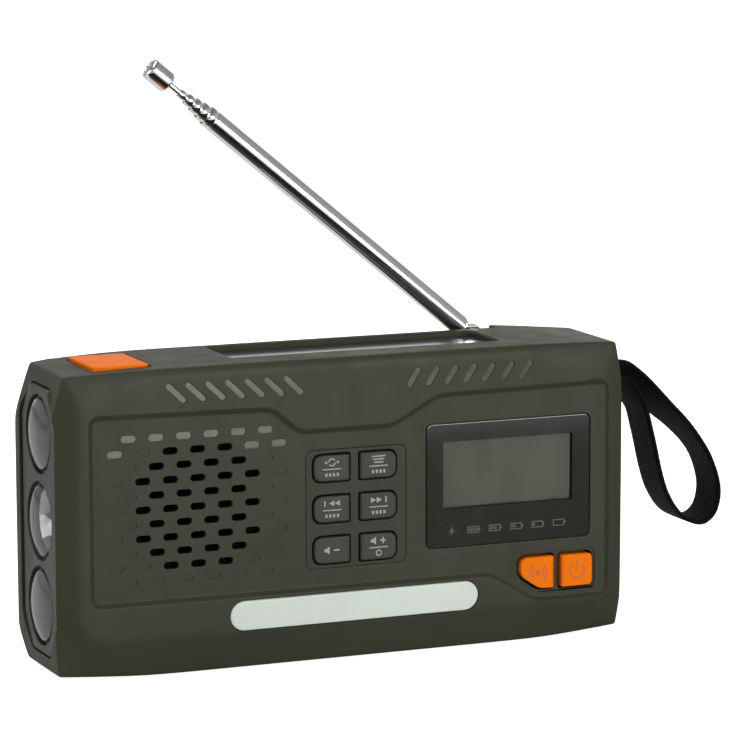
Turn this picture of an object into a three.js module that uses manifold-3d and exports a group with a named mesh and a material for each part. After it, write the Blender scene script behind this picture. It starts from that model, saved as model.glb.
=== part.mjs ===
// Wind-up emergency radio with a telescopic antenna, three end lamps, a solar top and a wrist strap.
// Millimetres, +Z up. The origin is on the base plane under the middle of the body.
// +X runs to the strap end, -X to the torch end, -Y is the control face and +Y is the crank face.

import * as THREE from 'three';
import { ConvexGeometry } from 'three/addons/geometries/ConvexGeometry.js';
import { mergeVertices } from 'three/addons/utils/BufferGeometryUtils.js';
import Module from 'manifold-3d';

const wasm = await Module();
wasm.setup();

// ---------------------------------------------------------------- driving dimensions

const GAP = 0.3; // clearance between neighbouring pieces

const BODY = { halfLength: 85, frontY: -20.5, rearY: 20.5, height: 86, frontFlatHalf: 81.3 };
const CAVITY_SCALE = { x: 0.974, y: 0.873, z: 0.949 }; // leaves walls of about 2.3 mm
const SEAM_Y = 11.5; // plane where the front and rear shells meet
const SEAM_JOG = { x0: -75, x1: -49, y: 13, z: 79 }; // the front shell reaches back around the torch key

// Cutting tools run out to these planes, all clear of the body.
const BEYOND = { left: -95, right: 95, front: -30, rear: 40, above: 100, below: -10 };

const PANEL_Y = -19.5; // floor of the inset control panel
const FRONT_WALL_CUT_Y = -15; // openings through the front wall end here, inside the body

const SPEAKER = {
  x: -45, z: 47, mountY: -17.4, magnetRadius: 12.5, magnetFrontY: -8.1, magnetBackY: -1.7,
};
const SLOT = { pitch: 4, length: 4.4, width: 2, rows: 11, middle: 5, openRadius: 4.75, blindDepth: 0.6 };
const WINDOW = { x0: 23.3, x1: 74.7, z0: 29.2, z1: 65.2, cornerRadius: 2.3, depth: 1.1, proud: 0.05 };
const LCD = { x0: 28.4, x1: 69.2, z0: 40.2, z1: 59.9, fit: 0.4, backY: -16.5 };
const LCD_CARRIER = { x0: 26, x1: 72, y0: -17.4, y1: -12.4, z0: 36, z1: 62 };
const LIGHT_BAR = { x: 1.5, z: 15.15, length: 75.6, height: 8.8, fit: 0.2, frontY: -20.6, backY: -17.2 };
const LIGHT_BAR_BOARD = { x0: -34, x1: 37, y0: -16, y1: -14.8, z0: 11.4, z1: 18.9 };
const LIGHT_BAR_LED = { count: 6, firstX: -30, pitch: 12.6, half: 1.4, frontY: -16.7 };
const MAIN_BOARD = { x0: -8, x1: 73.2, y0: -11.6, y1: -10, z0: 24, z1: 80 };
const KEY_SWITCH = { half: 2, frontY: -12.3 };
const CHIPS = [
  { x0: 30, x1: 46, z0: 52, z1: 66, backY: -8.4 },
  { x0: 52, x1: 60, z0: 50, z1: 58, backY: -8.8 },
];

const KEY = {
  rows: 3, height: 8, rowPitch: 11.65, topRowZ: 54.8, frontY: -20.0, backY: -13.3,
  sideGap: 0.25,
};
const KEY_COLUMNS = [
  { x0: -11.05, x1: 0.2 },
  { x0: 2.95, x1: 14.35 },
];
const KEY_FIELD = { x0: -12.9, x1: 17.1, z0: 26.5, z1: 59.9, depth: 0.2, cornerRadius: 2 };
const SOS_KEY = { x0: 51.9, x1: 63.3, z0: 14.7, z1: 25.0 };
const POWER_KEY = { x0: 64.8, x1: 75.5, z0: 14.6, z1: 24.9 };
const ORANGE_KEY_FRONT_Y = -20.7;

const TORCH_KEY = {
  x0: -73.5, x1: -56.5, y0: -14.5, y1: 8, top: 86.2, bottom: 80.4, cornerRadius: 1.4,
  holeZ: 78,
};
const LAMP = { y: -2.5, z: [67.25, 42.9, 19.05], lensRadius: 9.9, segments: 18 };
const BEZEL = {
  outerX: -84.5, innerX: -81.9, y0: -17.6, y1: 12.6, z0: 5.6, z1: 80.8,
  chamferY: 7, chamferZ: 9, ringRecess: 0.8, ringWidth: 1.1, seatX: -79,
};
const TORCH_BOARD = {
  x0: -71, x1: -69.6, y0: -11.5, y1: 6.5, z0: 8, z1: 78, ledRadius: 1.7, ledX: -72.8,
};

const SOLAR = {
  x0: -31.2, x1: 50.5, y0: -9.5, y1: 10.2, top: 84.7, bottom: 83.2, seatZ: 82.9, wall: 1.6,
};

const STEP = { x0: -77, x1: 60, frontY: 12.8, floorZ: 80.3, wall: 2 }; // ledge the antenna folds into
const MAST = { x: 52.5, y: 16.6, z: 84.6, tiltDeg: 39.5, segments: 12 };
const SWIVEL = {
  relief: 4.25, boreRadius: 2.1, postRadius: 1.8,
  flangeRadius: 2.6, flangeBore: 2.9, flangeZ: 76, flangeTopZ: 78,
  baseRadius: 3.05, baseZ: 80.6, baseTopZ: 81.4,
  earRadius: 3, earHalf: 2.6, earInner: 1.55, earOuter: 2.55,
};
const PIN = { shankRadius: 0.9, bore: 1.2, headRadius: 1.7, headInner: 2.8, headOuter: 3.2 };
const TONGUE = { radius: 2.9, half: 1.3, neck: 2.4, reach: 5 };
const MAST_TUBES = [
  { name: 'antenna_section_2', outer: 2.65, inner: 2.35, start: 8, end: 107.4 },
  { name: 'antenna_section_3', outer: 2.2, inner: 1.9, start: 9, end: 110 },
  { name: 'antenna_section_4', outer: 1.75, inner: 1.45, start: 10, end: 112.6 },
  { name: 'antenna_section_5', outer: 1.3, inner: 1.05, start: 11, end: 115.2 },
];
const MAST_BASE = { outer: 3.1, inner: 2.8, start: 3.4, plugEnd: 6, end: 104.8 };
const MAST_TIP = { radius: 0.85, start: 12, knobStart: 119.3, knobEnd: 127.1, knobRadius: 3.1 };

const DISH = { x: -30, z: 41.5, radius: 34.5, floorY: 11.5, cupWall: 1.8, cupBackY: 18.2, segments: 40 };
const CRANK = {
  armReach: 32.6, knobPivot: 26.7, armHalfWidth: 7.6, windowHalf: 5.3, windowInner: 6.5,
  armY0: 13.2, armY1: 19.6, railWidth: 2.3, hubRadius: 8.6, hubY0: 12, hubY1: 20.2,
  shaftRadius: 3, shaftBore: 3.4, shaftY0: 0.8,
};
const KNOB = { radius: 4.5, start: 4.2, end: 19.2, stemRadius: 1.5, y: 16.5, cap: 1.5 };
const KNOB_PIN = { radius: 1, bore: 1.3, half: 7.4, blockRadius: 3, blockHalf: 4.8 };

const GEAR = {
  module: 1, crankTeeth: 32, pinionTeeth: 8, stageTwoModule: 0.75, wheelTeeth: 28,
  rotorTeeth: 7,
};
const GEAR_ANGLES = { stageOneDeg: 30, stageTwoDeg: -20 };
const GEAR_LAYERS = {
  crankGear: [3, 5.6], idlerPinion: [2.8, 6.2], idlerWheel: [6.1, 8.1], rotorPinion: [5.9, 8.3],
  idlerAxle: [0.2, 3], rotorShaft: [-0.1, 6], plate: [0.6, 2],
};
const PLATE = { x0: -50, x1: 12, z0: 22, z1: 62, cornerRadius: 4 };
const AXLE = { idlerRadius: 1.4, idlerBore: 1.7, rotorRadius: 1, rotorBore: 2 };
const GENERATOR = { radius: 11, y0: -7.6, y1: -0.4, bossRadius: 3, bossY0: -7.8, boreY0: -1.2 };

const LITHIUM_CELL = { y: 0, z: 12, radius: 9.1, x0: -54, x1: 11 };
const TRAY = {
  x0: 16.5, x1: 73.0, z0: 10, z1: 50, y0: 5.6, y1: 16.9, wall: 1.5, ribZ: [24.3, 35.7],
  ribY: 8.6,
};
const DOOR = { hingeY: 19.4, hingeZ: 12.3, thickness: 2, lip: 1.35, gripX0: 38, gripX1: 52 };
const CELL = { radius: 5.2, length: 44, x: 45.2, y: 12.5, z: [18.6, 30, 41.4], nubRadius: 1.9 };
const CONTACT = { thickness: 0.6, y0: 8.9, y1: 17.2, z0: 12, z1: 48, springX: 18.4, buttonX: 70.5 };

const BOSSES = [
  { x: -62, z: 12 },
  { x: -62, z: 72 },
  { x: 77, z: 12 },
  { x: 77, z: 70 },
];
const BOSS = {
  radius: 2.9, bore: 1.5, frontY: -18.2, sleeve: 3.6, headRadius: 2.6, headY: 18.2,
  headTopY: 20,
};
const SCREW = { shankRadius: 1.2, tipY: -4, slotLong: 1.5, slotShort: 0.3, slotDepth: 0.7 };

const STRAP_BAR = { x: 82.2, z: 73, radius: 1.2 };
const STRAP = { centreY: 1, width: 14.6, thickness: 1.4, steps: 44 };
const STRAP_POCKET = { x: 79.5, y0: -7.3, y1: 9.3, z0: 67, z1: 79, wall: 1.3 };

const PORTS = { y: -6, usbZ: 30, jackZ: 41, x: 82.2, wallX: 80 };
const USB = { length: 7.2, halfWidth: 1.6, halfHeight: 4.5, shell: 0.4, mouthX: -5.5, opening: 0.3 };
const JACK = {
  length: 11, blockHalfY: 2.8, blockHalfZ: 3, barrelRadius: 2.7, boreRadius: 1.75,
  opening: 3.2,
};
const FLAP = {
  z0: 24.5, z1: 46.5, y0: -11.5, y1: -0.5, outerX: 85.2, seatX: 83.4, thickness: 1.6,
  hingeRadius: 0.8,
};

// ---------------------------------------------------------------- materials

const finish = (color, roughness, metalness = 0) =>
  new THREE.MeshStandardMaterial({ color, roughness, metalness });

const LOOK = {
  shell: finish(0x3a3b2f, 0.6),
  greyPlastic: finish(0x55574f, 0.6),
  darkPlastic: finish(0x1c1d1b, 0.55),
  keyPlastic: finish(0x45463c, 0.55),
  orangePlastic: finish(0xee7d1a, 0.45),
  clearLens: finish(0xdfe4e2, 0.1),
  mirror: finish(0xe6e6e6, 0.1, 1),
  whiteDiffuser: finish(0xc6d3cb, 0.4),
  windowGlass: finish(0x26282a, 0.1),
  lcdGlass: finish(0x55554d, 0.25),
  solarGlass: finish(0x12141c, 0.1),
  circuit: finish(0x1f5a34, 0.5),
  chrome: finish(0xc9ccce, 0.12, 1),
  steel: finish(0x8c8f91, 0.35, 1),
  gearPlastic: finish(0xe9e6dc, 0.5),
  brass: finish(0xb8923f, 0.35, 1),
  cellWrap: finish(0x3b6fa5, 0.4),
  paper: finish(0x1a1a1a, 0.9),
  webbing: finish(0x0d0d0d, 0.9),
  rubber: finish(0x23241f, 0.9),
};

// ---------------------------------------------------------------- solids and booleans

function solid(geometry) {
  const bare = geometry.clone();
  bare.deleteAttribute('normal');
  bare.deleteAttribute('uv');
  const merged = mergeVertices(bare, 1e-4);
  const vertProperties = new Float32Array(merged.attributes.position.array);
  const triVerts = new Uint32Array(merged.index.array);
  return new wasm.Manifold(new wasm.Mesh({ numProp: 3, vertProperties, triVerts }));
}

function geometryOf(manifold) {
  const mesh = manifold.getMesh();
  const geometry = new THREE.BufferGeometry();
  geometry.setAttribute('position', new THREE.BufferAttribute(new Float32Array(mesh.vertProperties), 3));
  geometry.setIndex(new THREE.BufferAttribute(new Uint32Array(mesh.triVerts), 1));
  geometry.computeVertexNormals();
  return geometry;
}

const join = (first, ...others) => others.reduce((sum, next) => sum.add(next), first);
const cut = (first, ...others) => others.reduce((sum, next) => sum.subtract(next), first);

function box(x0, x1, y0, y1, z0, z1) {
  const geometry = new THREE.BoxGeometry(x1 - x0, y1 - y0, z1 - z0);
  geometry.translate((x0 + x1) / 2, (y0 + y1) / 2, (z0 + z1) / 2);
  return solid(geometry);
}

// Cylinder whose axis runs along X, Y or Z from one coordinate to another, centred on the other two.
function rod(axis, centre, radius, from, to, segments = 20) {
  const geometry = new THREE.CylinderGeometry(radius, radius, to - from, segments);
  const middle = (from + to) / 2;
  if (axis === 'x') {
    geometry.rotateZ(-Math.PI / 2);
    geometry.translate(middle, centre[0], centre[1]);
  } else if (axis === 'y') {
    geometry.translate(centre[0], middle, centre[1]);
  } else {
    geometry.rotateX(Math.PI / 2);
    geometry.translate(centre[0], centre[1], middle);
  }
  return solid(geometry);
}

// Turns a profile of [radius, height] pairs about the Y axis, in either direction of travel.
function turned(profile, segments = 20) {
  const points = profile.map(([radius, height]) => new THREE.Vector2(radius, height));
  if (THREE.ShapeUtils.area(points) < 0) points.reverse();
  return new THREE.LatheGeometry(points, segments);
}

function hull(points) {
  return solid(new ConvexGeometry(points.map(([x, y, z]) => new THREE.Vector3(x, y, z))));
}

function polygon(points) {
  return new THREE.Shape(points.map(([a, b]) => new THREE.Vector2(a, b)));
}

// Closed outline with every corner rounded; a radius list gives each corner its own radius.
function roundedPolygon(points, radii) {
  const shape = new THREE.Shape();
  const corners = points.map(([a, b]) => new THREE.Vector2(a, b));
  corners.forEach((corner, index) => {
    const radius = Array.isArray(radii) ? radii[index] : radii;
    const before = corners[(index + corners.length - 1) % corners.length];
    const after = corners[(index + 1) % corners.length];
    const enter = corner.clone().add(before.clone().sub(corner).setLength(radius));
    const leave = corner.clone().add(after.clone().sub(corner).setLength(radius));
    if (index === 0) shape.moveTo(enter.x, enter.y);
    else shape.lineTo(enter.x, enter.y);
    shape.quadraticCurveTo(corner.x, corner.y, leave.x, leave.y);
  });
  shape.closePath();
  return shape;
}

function roundedRectangle(a0, a1, b0, b1, radii) {
  return roundedPolygon([[a0, b0], [a1, b0], [a1, b1], [a0, b1]], radii);
}

function stadium(a, b, length, height, segments) {
  const radius = height / 2;
  const reach = length / 2 - radius;
  const points = [];
  for (let step = 0; step <= segments; step += 1) {
    const angle = -Math.PI / 2 + (Math.PI * step) / segments;
    points.push([a + reach + radius * Math.cos(angle), b + radius * Math.sin(angle)]);
  }
  for (let step = 0; step <= segments; step += 1) {
    const angle = Math.PI / 2 + (Math.PI * step) / segments;
    points.push([a - reach + radius * Math.cos(angle), b + radius * Math.sin(angle)]);
  }
  return polygon(points);
}

// Extrudes an outline drawn in (x, z) from y0 to y1.
function alongY(shape, y0, y1, curveSegments = 3) {
  const geometry = new THREE.ExtrudeGeometry(shape, { depth: y1 - y0, bevelEnabled: false, curveSegments });
  geometry.rotateX(Math.PI / 2);
  geometry.translate(0, y1, 0);
  return solid(geometry);
}

// Extrudes an outline drawn in (x, y) from z0 to z1.
function alongZ(shape, z0, z1, curveSegments = 3) {
  const geometry = new THREE.ExtrudeGeometry(shape, { depth: z1 - z0, bevelEnabled: false, curveSegments });
  geometry.translate(0, 0, z0);
  return solid(geometry);
}

// Extrudes an outline drawn in (y, z) from x0 to x1.
function alongX(shape, x0, x1, curveSegments = 3) {
  const geometry = new THREE.ExtrudeGeometry(shape, { depth: x1 - x0, bevelEnabled: false, curveSegments });
  const turn = new THREE.Matrix4().makeBasis(
    new THREE.Vector3(0, 1, 0),
    new THREE.Vector3(0, 0, 1),
    new THREE.Vector3(1, 0, 0),
  );
  geometry.applyMatrix4(turn);
  geometry.translate(x0, 0, 0);
  return solid(geometry);
}

// ---------------------------------------------------------------- scene graph

const radio = new THREE.Group();

function place(name, shape, material, parent = radio) {
  const geometry = shape instanceof THREE.BufferGeometry ? shape : geometryOf(shape);
  const mesh = new THREE.Mesh(geometry, material);
  mesh.name = name;
  parent.add(mesh);
  return mesh;
}

// ---------------------------------------------------------------- outer body form

// Corner points of the faceted moulding; each one is mirrored to the other end.
function bodyPoints() {
  const half = BODY.halfLength;
  const flat = BODY.frontFlatHalf;
  const front = BODY.frontY;
  const rear = BODY.rearY;
  const top = BODY.height;
  const oneEnd = [
    [flat, front, 15], [flat, front, 72.5], [79.3, front, 77.3], [56, front, 84.2], [77, front, 10.2],
    [56, -19.6, top], [82.2, -18.4, 84.9], [82.2, 12, 83.8], [56, 18.6, top],
    [half, -17.3, 10.5], [half, -17.3, 74.5], [half, 12.5, 74.5], [half, 17, 70], [half, 17, 13],
    [80.5, rear, 14], [80.5, rear, 70], [56, rear, 83], [72, rear, 7.5],
    [45, -17.5, 0], [45, 12, 0], [83.5, -15.5, 2.9], [83.5, 11.6, 2.6],
  ];
  return oneEnd.flatMap(([x, y, z]) => [[x, y, z], [-x, y, z]]);
}

const bodyForm = hull(bodyPoints());

// The hollow inside the shells, less the walls kept around the recesses.
function cavityForm() {
  const middle = BODY.height / 2;
  const points = bodyPoints().map(([x, y, z]) => [
    x * CAVITY_SCALE.x,
    y * CAVITY_SCALE.y,
    middle + (z - middle) * CAVITY_SCALE.z,
  ]);
  const solarKeepOut = box(
    SOLAR.x0 - SOLAR.wall, SOLAR.x1 + SOLAR.wall,
    SOLAR.y0 - SOLAR.wall, BEYOND.rear,
    SOLAR.seatZ - SOLAR.wall, BEYOND.above,
  );
  const stepKeepOut = box(
    STEP.x0 - STEP.wall, STEP.x1 + STEP.wall,
    STEP.frontY - STEP.wall, BEYOND.rear,
    STEP.floorZ - STEP.wall, BEYOND.above,
  );
  const strapKeepOut = box(
    STRAP_POCKET.x - STRAP_POCKET.wall, BEYOND.right,
    STRAP_POCKET.y0 - STRAP_POCKET.wall, STRAP_POCKET.y1 + STRAP_POCKET.wall,
    STRAP_POCKET.z0 - STRAP_POCKET.wall, STRAP_POCKET.z1 + STRAP_POCKET.wall,
  );
  return cut(hull(points), solarKeepOut, stepKeepOut, strapKeepOut);
}

const cavity = cavityForm();

function frontHalf() {
  const { left, right, front, above, below } = BEYOND;
  const main = box(left, right, front, SEAM_Y - GAP / 2, below, above);
  return main.add(box(SEAM_JOG.x0, SEAM_JOG.x1, 0, SEAM_JOG.y - GAP, SEAM_JOG.z, above));
}

function rearHalf() {
  const { left, right, rear, above, below } = BEYOND;
  const main = box(left, right, SEAM_Y + GAP / 2, rear, below, above);
  return main.subtract(box(SEAM_JOG.x0 - GAP, SEAM_JOG.x1 + GAP, 0, SEAM_JOG.y, SEAM_JOG.z - GAP, above));
}

const stepCut = () => box(STEP.x0, STEP.x1, STEP.frontY, BEYOND.rear, STEP.floorZ, BEYOND.above);

// ---------------------------------------------------------------- torch end

function bezelOutline(grow) {
  const y0 = BEZEL.y0 - grow;
  const y1 = BEZEL.y1 + grow;
  const z0 = BEZEL.z0 - grow;
  const z1 = BEZEL.z1 + grow;
  const cy = BEZEL.chamferY;
  const cz = BEZEL.chamferZ;
  return polygon([
    [y0 + cy, z0], [y1 - cy, z0], [y1, z0 + cz], [y1, z1 - cz],
    [y1 - cy, z1], [y0 + cy, z1], [y0, z1 - cz], [y0, z0 + cz],
  ]);
}

const bezelSeat = () => alongX(bezelOutline(0), BEYOND.left, BEZEL.seatX);

function torchBezel() {
  const { outerX, innerX, ringRecess, ringWidth, seatX } = BEZEL;
  let bezel = alongX(bezelOutline(-GAP), outerX, innerX);
  for (const z of LAMP.z) {
    const centre = [LAMP.y, z];
    const ringRadius = LAMP.lensRadius + ringWidth;
    const holeRadius = LAMP.lensRadius + GAP;
    const ring = rod('x', centre, ringRadius, BEYOND.left, outerX + ringRecess, LAMP.segments);
    const hole = rod('x', centre, holeRadius, BEYOND.left, seatX, LAMP.segments);
    bezel = cut(bezel, ring, hole);
  }
  return bezel;
}

// Lens and reflector share the lamp's axis; local +Y of the turned profile points out of the torch end.
function lampPiece(profile, z) {
  const geometry = turned(profile, LAMP.segments);
  geometry.rotateZ(Math.PI / 2);
  geometry.translate(BEZEL.outerX, LAMP.y, z);
  return solid(geometry);
}

const lensProfile = [
  [0, -1.8], [LAMP.lensRadius, -1.8], [LAMP.lensRadius, -0.2], [7.6, 0.7], [4, 1.25], [0, 1.4],
];

const reflectorProfile = [
  [9.7, -2.8], [9.0, -2.8], [6.8, -7], [2.4, -11.6],
  [2.4, -12.6], [3.6, -12.6], [8, -7.6], [9.7, -4.2], [9.7, -2.8],
];

function torchBoard() {
  const { x0, x1, y0, y1, z0, z1, ledRadius, ledX } = TORCH_BOARD;
  const board = box(x0, x1, y0, y1, z0, z1);
  return join(board, ...LAMP.z.map((z) => rod('x', [LAMP.y, z], ledRadius, ledX, x1 - GAP, 12)));
}

// ---------------------------------------------------------------- front shell

function panelOutline() {
  const points = [
    [-76, 73.4], [-23.4, 72.6], [-15.2, 65.6], [12.9, 65.6], [26.9, 73.2], [80, 74],
    [80, 12], [57, 12], [43.4, 20.6], [-76, 21.2],
  ];
  return roundedPolygon(points.reverse(), 2.5);
}

// Slots inside a circle of about 19 mm radius go through to the speaker; the others are blind.
function speakerSlots() {
  const slots = [];
  for (let row = 0; row < SLOT.rows; row += 1) {
    const odd = row % 2;
    for (let column = odd ? -1 : 0; column <= SLOT.rows - 1 + odd; column += 2) {
      const across = column - SLOT.middle;
      const up = SLOT.middle - row;
      const open = Math.hypot(across, up) < SLOT.openRadius && Math.abs(up) < SLOT.middle;
      const x = SPEAKER.x + across * SLOT.pitch;
      const z = SPEAKER.z + up * SLOT.pitch;
      const floorY = open ? FRONT_WALL_CUT_Y : PANEL_Y + SLOT.blindDepth;
      slots.push(alongY(stadium(x, z, SLOT.length, SLOT.width, 2), BODY.frontY, floorY));
    }
  }
  return slots;
}

function keyOutline(column, row, shrink) {
  const side = KEY_COLUMNS[column];
  const z = KEY.topRowZ - row * KEY.rowPitch;
  const half = KEY.height / 2 - shrink;
  const soft = 3 - shrink;
  const tight = 0.8;
  const radii = column === 0 ? [soft, tight, tight, soft] : [tight, soft, soft, tight];
  return roundedRectangle(side.x0 + shrink, side.x1 - shrink, z - half, z + half, radii);
}

function sosOutline(shrink) {
  const x0 = SOS_KEY.x0 + shrink;
  const x1 = SOS_KEY.x1 - shrink;
  const z0 = SOS_KEY.z0 + shrink;
  const z1 = SOS_KEY.z1 - shrink;
  const corners = [[x0 + 6.4, z0], [x1, z0], [x1, z1], [x0, z1], [x0, z0 + 4.4]];
  return roundedPolygon(corners, [1.2, 0.6, 0.6, 2.4, 1.4]);
}

function powerOutline(shrink) {
  return roundedRectangle(
    POWER_KEY.x0 + shrink, POWER_KEY.x1 - shrink, POWER_KEY.z0 + shrink, POWER_KEY.z1 - shrink,
    [0.6, 2.2, 2.2, 0.6],
  );
}

function torchKeyOutline(shrink) {
  return roundedRectangle(
    TORCH_KEY.x0 + shrink, TORCH_KEY.x1 - shrink,
    TORCH_KEY.y0 + shrink, TORCH_KEY.y1 - shrink,
    TORCH_KEY.cornerRadius,
  );
}

// The strap hangs from a bar moulded across a pocket in the right-hand end.
function strapPocket() {
  const { x, y0, y1, z0, z1 } = STRAP_POCKET;
  const bar = rod('y', [STRAP_BAR.x, STRAP_BAR.z], STRAP_BAR.radius, BODY.frontY, BODY.rearY, 12);
  return box(x, BEYOND.right, y0, y1, z0, z1).subtract(bar);
}

function portOpening() {
  const { y, usbZ, jackZ, wallX } = PORTS;
  const right = BEYOND.right;
  const across = USB.halfWidth + USB.opening;
  const up = USB.halfHeight + USB.opening;
  const flapSeat = box(FLAP.seatX, right, FLAP.y0 - GAP, FLAP.y1 + GAP, FLAP.z0 - GAP, FLAP.z1 + GAP);
  const usb = box(wallX, right, y - across, y + across, usbZ - up, usbZ + up);
  const jack = rod('x', [y, jackZ], JACK.opening, wallX, right, 16);
  return join(flapSeat, usb, jack);
}

const throughFrontWall = (outline, curveSegments) =>
  alongY(outline, BEYOND.front, FRONT_WALL_CUT_Y, curveSegments);

function eachKey(visit) {
  KEY_COLUMNS.forEach((unused, column) => {
    for (let row = 0; row < KEY.rows; row += 1) visit(column, row);
  });
}

function frontShell() {
  let shell = bodyForm.intersect(frontHalf()).subtract(cavity);
  for (const { x, z } of BOSSES) {
    shell = shell.add(rod('y', [x, z], BOSS.radius, BOSS.frontY, SEAM_Y - GAP / 2, 14));
  }
  for (const { x, z } of BOSSES) {
    shell = shell.subtract(rod('y', [x, z], BOSS.bore, FRONT_WALL_CUT_Y, BODY.rearY, 10));
  }
  shell = shell.subtract(alongY(panelOutline(), BEYOND.front, PANEL_Y));
  const field = roundedRectangle(
    KEY_FIELD.x0, KEY_FIELD.x1, KEY_FIELD.z0, KEY_FIELD.z1, KEY_FIELD.cornerRadius,
  );
  shell = shell.subtract(alongY(field, BEYOND.front, PANEL_Y + KEY_FIELD.depth));
  shell = cut(shell, ...speakerSlots());
  eachKey((column, row) => {
    shell = shell.subtract(throughFrontWall(keyOutline(column, row, 0)));
  });
  shell = cut(shell, throughFrontWall(sosOutline(0)), throughFrontWall(powerOutline(0)));
  const windowSeat = roundedRectangle(WINDOW.x0, WINDOW.x1, WINDOW.z0, WINDOW.z1, WINDOW.cornerRadius);
  shell = shell.subtract(alongY(windowSeat, BEYOND.front, PANEL_Y + WINDOW.depth));
  shell = shell.subtract(box(LCD.x0, LCD.x1, BEYOND.front, FRONT_WALL_CUT_Y, LCD.z0, LCD.z1));
  const bar = stadium(LIGHT_BAR.x, LIGHT_BAR.z, LIGHT_BAR.length, LIGHT_BAR.height, 6);
  shell = shell.subtract(throughFrontWall(bar));
  const solarSeat = box(SOLAR.x0, SOLAR.x1, SOLAR.y0, SOLAR.y1, SOLAR.seatZ, BEYOND.above);
  const torchKeyHole = alongZ(torchKeyOutline(0), TORCH_KEY.holeZ, BEYOND.above);
  return cut(shell, solarSeat, torchKeyHole, strapPocket(), portOpening(), bezelSeat(), stepCut());
}

// ---------------------------------------------------------------- rear shell

function rearShell() {
  const { radius, floorY, cupWall, cupBackY, segments } = DISH;
  const centre = [DISH.x, DISH.z];
  const rear = BEYOND.rear;
  let shell = bodyForm.intersect(rearHalf()).subtract(cavity);
  shell = shell.add(rod('y', centre, radius + cupWall, floorY - cupWall, cupBackY, segments));
  for (const { x, z } of BOSSES) {
    const sleeve = rod('y', [x, z], BOSS.sleeve, SEAM_Y + GAP / 2, BOSS.headY + GAP, 14);
    shell = shell.add(sleeve.intersect(bodyForm));
  }
  const dish = rod('y', centre, radius, floorY, rear, segments);
  const shaftHole = rod('y', centre, CRANK.shaftBore, 0, rear, 16);
  shell = cut(shell, dish, shaftHole);
  for (const { x, z } of BOSSES) {
    const bore = rod('y', [x, z], BOSS.bore, 0, rear, 10);
    const headSeat = rod('y', [x, z], BOSS.headRadius + GAP, BOSS.headY, rear, 14);
    shell = cut(shell, bore, headSeat);
  }
  const batteryOpening = box(TRAY.x0, TRAY.x1, 0, rear, DOOR.hingeZ - DOOR.lip, TRAY.z1 + 1);
  const mastAxis = [MAST.x, MAST.y];
  const turnRelief = rod('z', mastAxis, SWIVEL.relief, STEP.floorZ, BEYOND.above, 20);
  const postHole = rod('z', mastAxis, SWIVEL.boreRadius, SWIVEL.flangeZ, BEYOND.above, 12);
  const flangeRoom = rod('z', mastAxis, SWIVEL.flangeBore, SWIVEL.flangeZ - 2, STEP.floorZ - STEP.wall, 14);
  return cut(shell, batteryOpening, bezelSeat(), stepCut(), turnRelief, postHole, flangeRoom);
}

// ---------------------------------------------------------------- controls and display

function keyCap(outline, frontY) {
  return alongY(outline, frontY, KEY.backY, 3);
}

function displayWindow() {
  const { x0, x1, z0, z1, cornerRadius, depth, proud } = WINDOW;
  const outline = roundedRectangle(x0 + GAP, x1 - GAP, z0 + GAP, z1 - GAP, cornerRadius - GAP);
  return alongY(outline, PANEL_Y - proud, PANEL_Y + depth - GAP);
}

function lcdModule() {
  const { x0, x1, z0, z1, fit, backY } = LCD;
  const face = box(x0 + fit, x1 - fit, PANEL_Y + WINDOW.depth, backY, z0 + fit, z1 - fit);
  const carrier = LCD_CARRIER;
  return face.add(box(carrier.x0, carrier.x1, carrier.y0, carrier.y1, carrier.z0, carrier.z1));
}

function lampDiffuser() {
  const { x, z, length, height, fit, frontY, backY } = LIGHT_BAR;
  return alongY(stadium(x, z, length - 2 * fit, height - 2 * fit, 6), frontY, backY);
}

function lampBoard() {
  const { x0, x1, y0, y1, z0, z1 } = LIGHT_BAR_BOARD;
  const { count, firstX, pitch, half, frontY } = LIGHT_BAR_LED;
  const middle = (z0 + z1) / 2;
  let board = box(x0, x1, y0, y1, z0, z1);
  for (let index = 0; index < count; index += 1) {
    const x = firstX + index * pitch;
    board = board.add(box(x - half, x + half, frontY, (y0 + y1) / 2, middle - half, middle + half));
  }
  return board;
}

function mainBoard() {
  const { x0, x1, y0, y1, z0, z1 } = MAIN_BOARD;
  const middleY = (y0 + y1) / 2;
  const { half, frontY } = KEY_SWITCH;
  let board = box(x0, x1, y0, y1, z0, z1);
  eachKey((column, row) => {
    const x = (KEY_COLUMNS[column].x0 + KEY_COLUMNS[column].x1) / 2;
    const z = KEY.topRowZ - row * KEY.rowPitch;
    board = board.add(box(Math.max(x - half, x0 + GAP), x + half, frontY, middleY, z - half, z + half));
  });
  return join(board, ...CHIPS.map((chip) => box(chip.x0, chip.x1, middleY, chip.backY, chip.z0, chip.z1)));
}

// ---------------------------------------------------------------- speaker

function speakerPiece(profile) {
  const geometry = turned(profile);
  geometry.translate(SPEAKER.x, SPEAKER.mountY, SPEAKER.z);
  return solid(geometry);
}

const frameProfile = [
  [20.6, 0.3], [22.2, 0.3], [22.2, 3.2], [13.5, 9.6],
  [7, 9.6], [7, 8.4], [12.8, 8.4], [20.6, 2.6], [20.6, 0.3],
];
const coneProfile = [
  [0, 4.4], [4, 5.2], [6, 6.8], [18.5, 1.2],
  [20.2, 1.2], [20.2, 2.0], [18.8, 2.0], [6.2, 7.8], [0, 7.8],
];

// The magnet is bonded to the back of the frame.
function speakerMagnet() {
  const { x, z, magnetRadius, magnetFrontY, magnetBackY } = SPEAKER;
  return rod('y', [x, z], magnetRadius, magnetFrontY, magnetBackY, 20);
}

// ---------------------------------------------------------------- antenna

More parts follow.
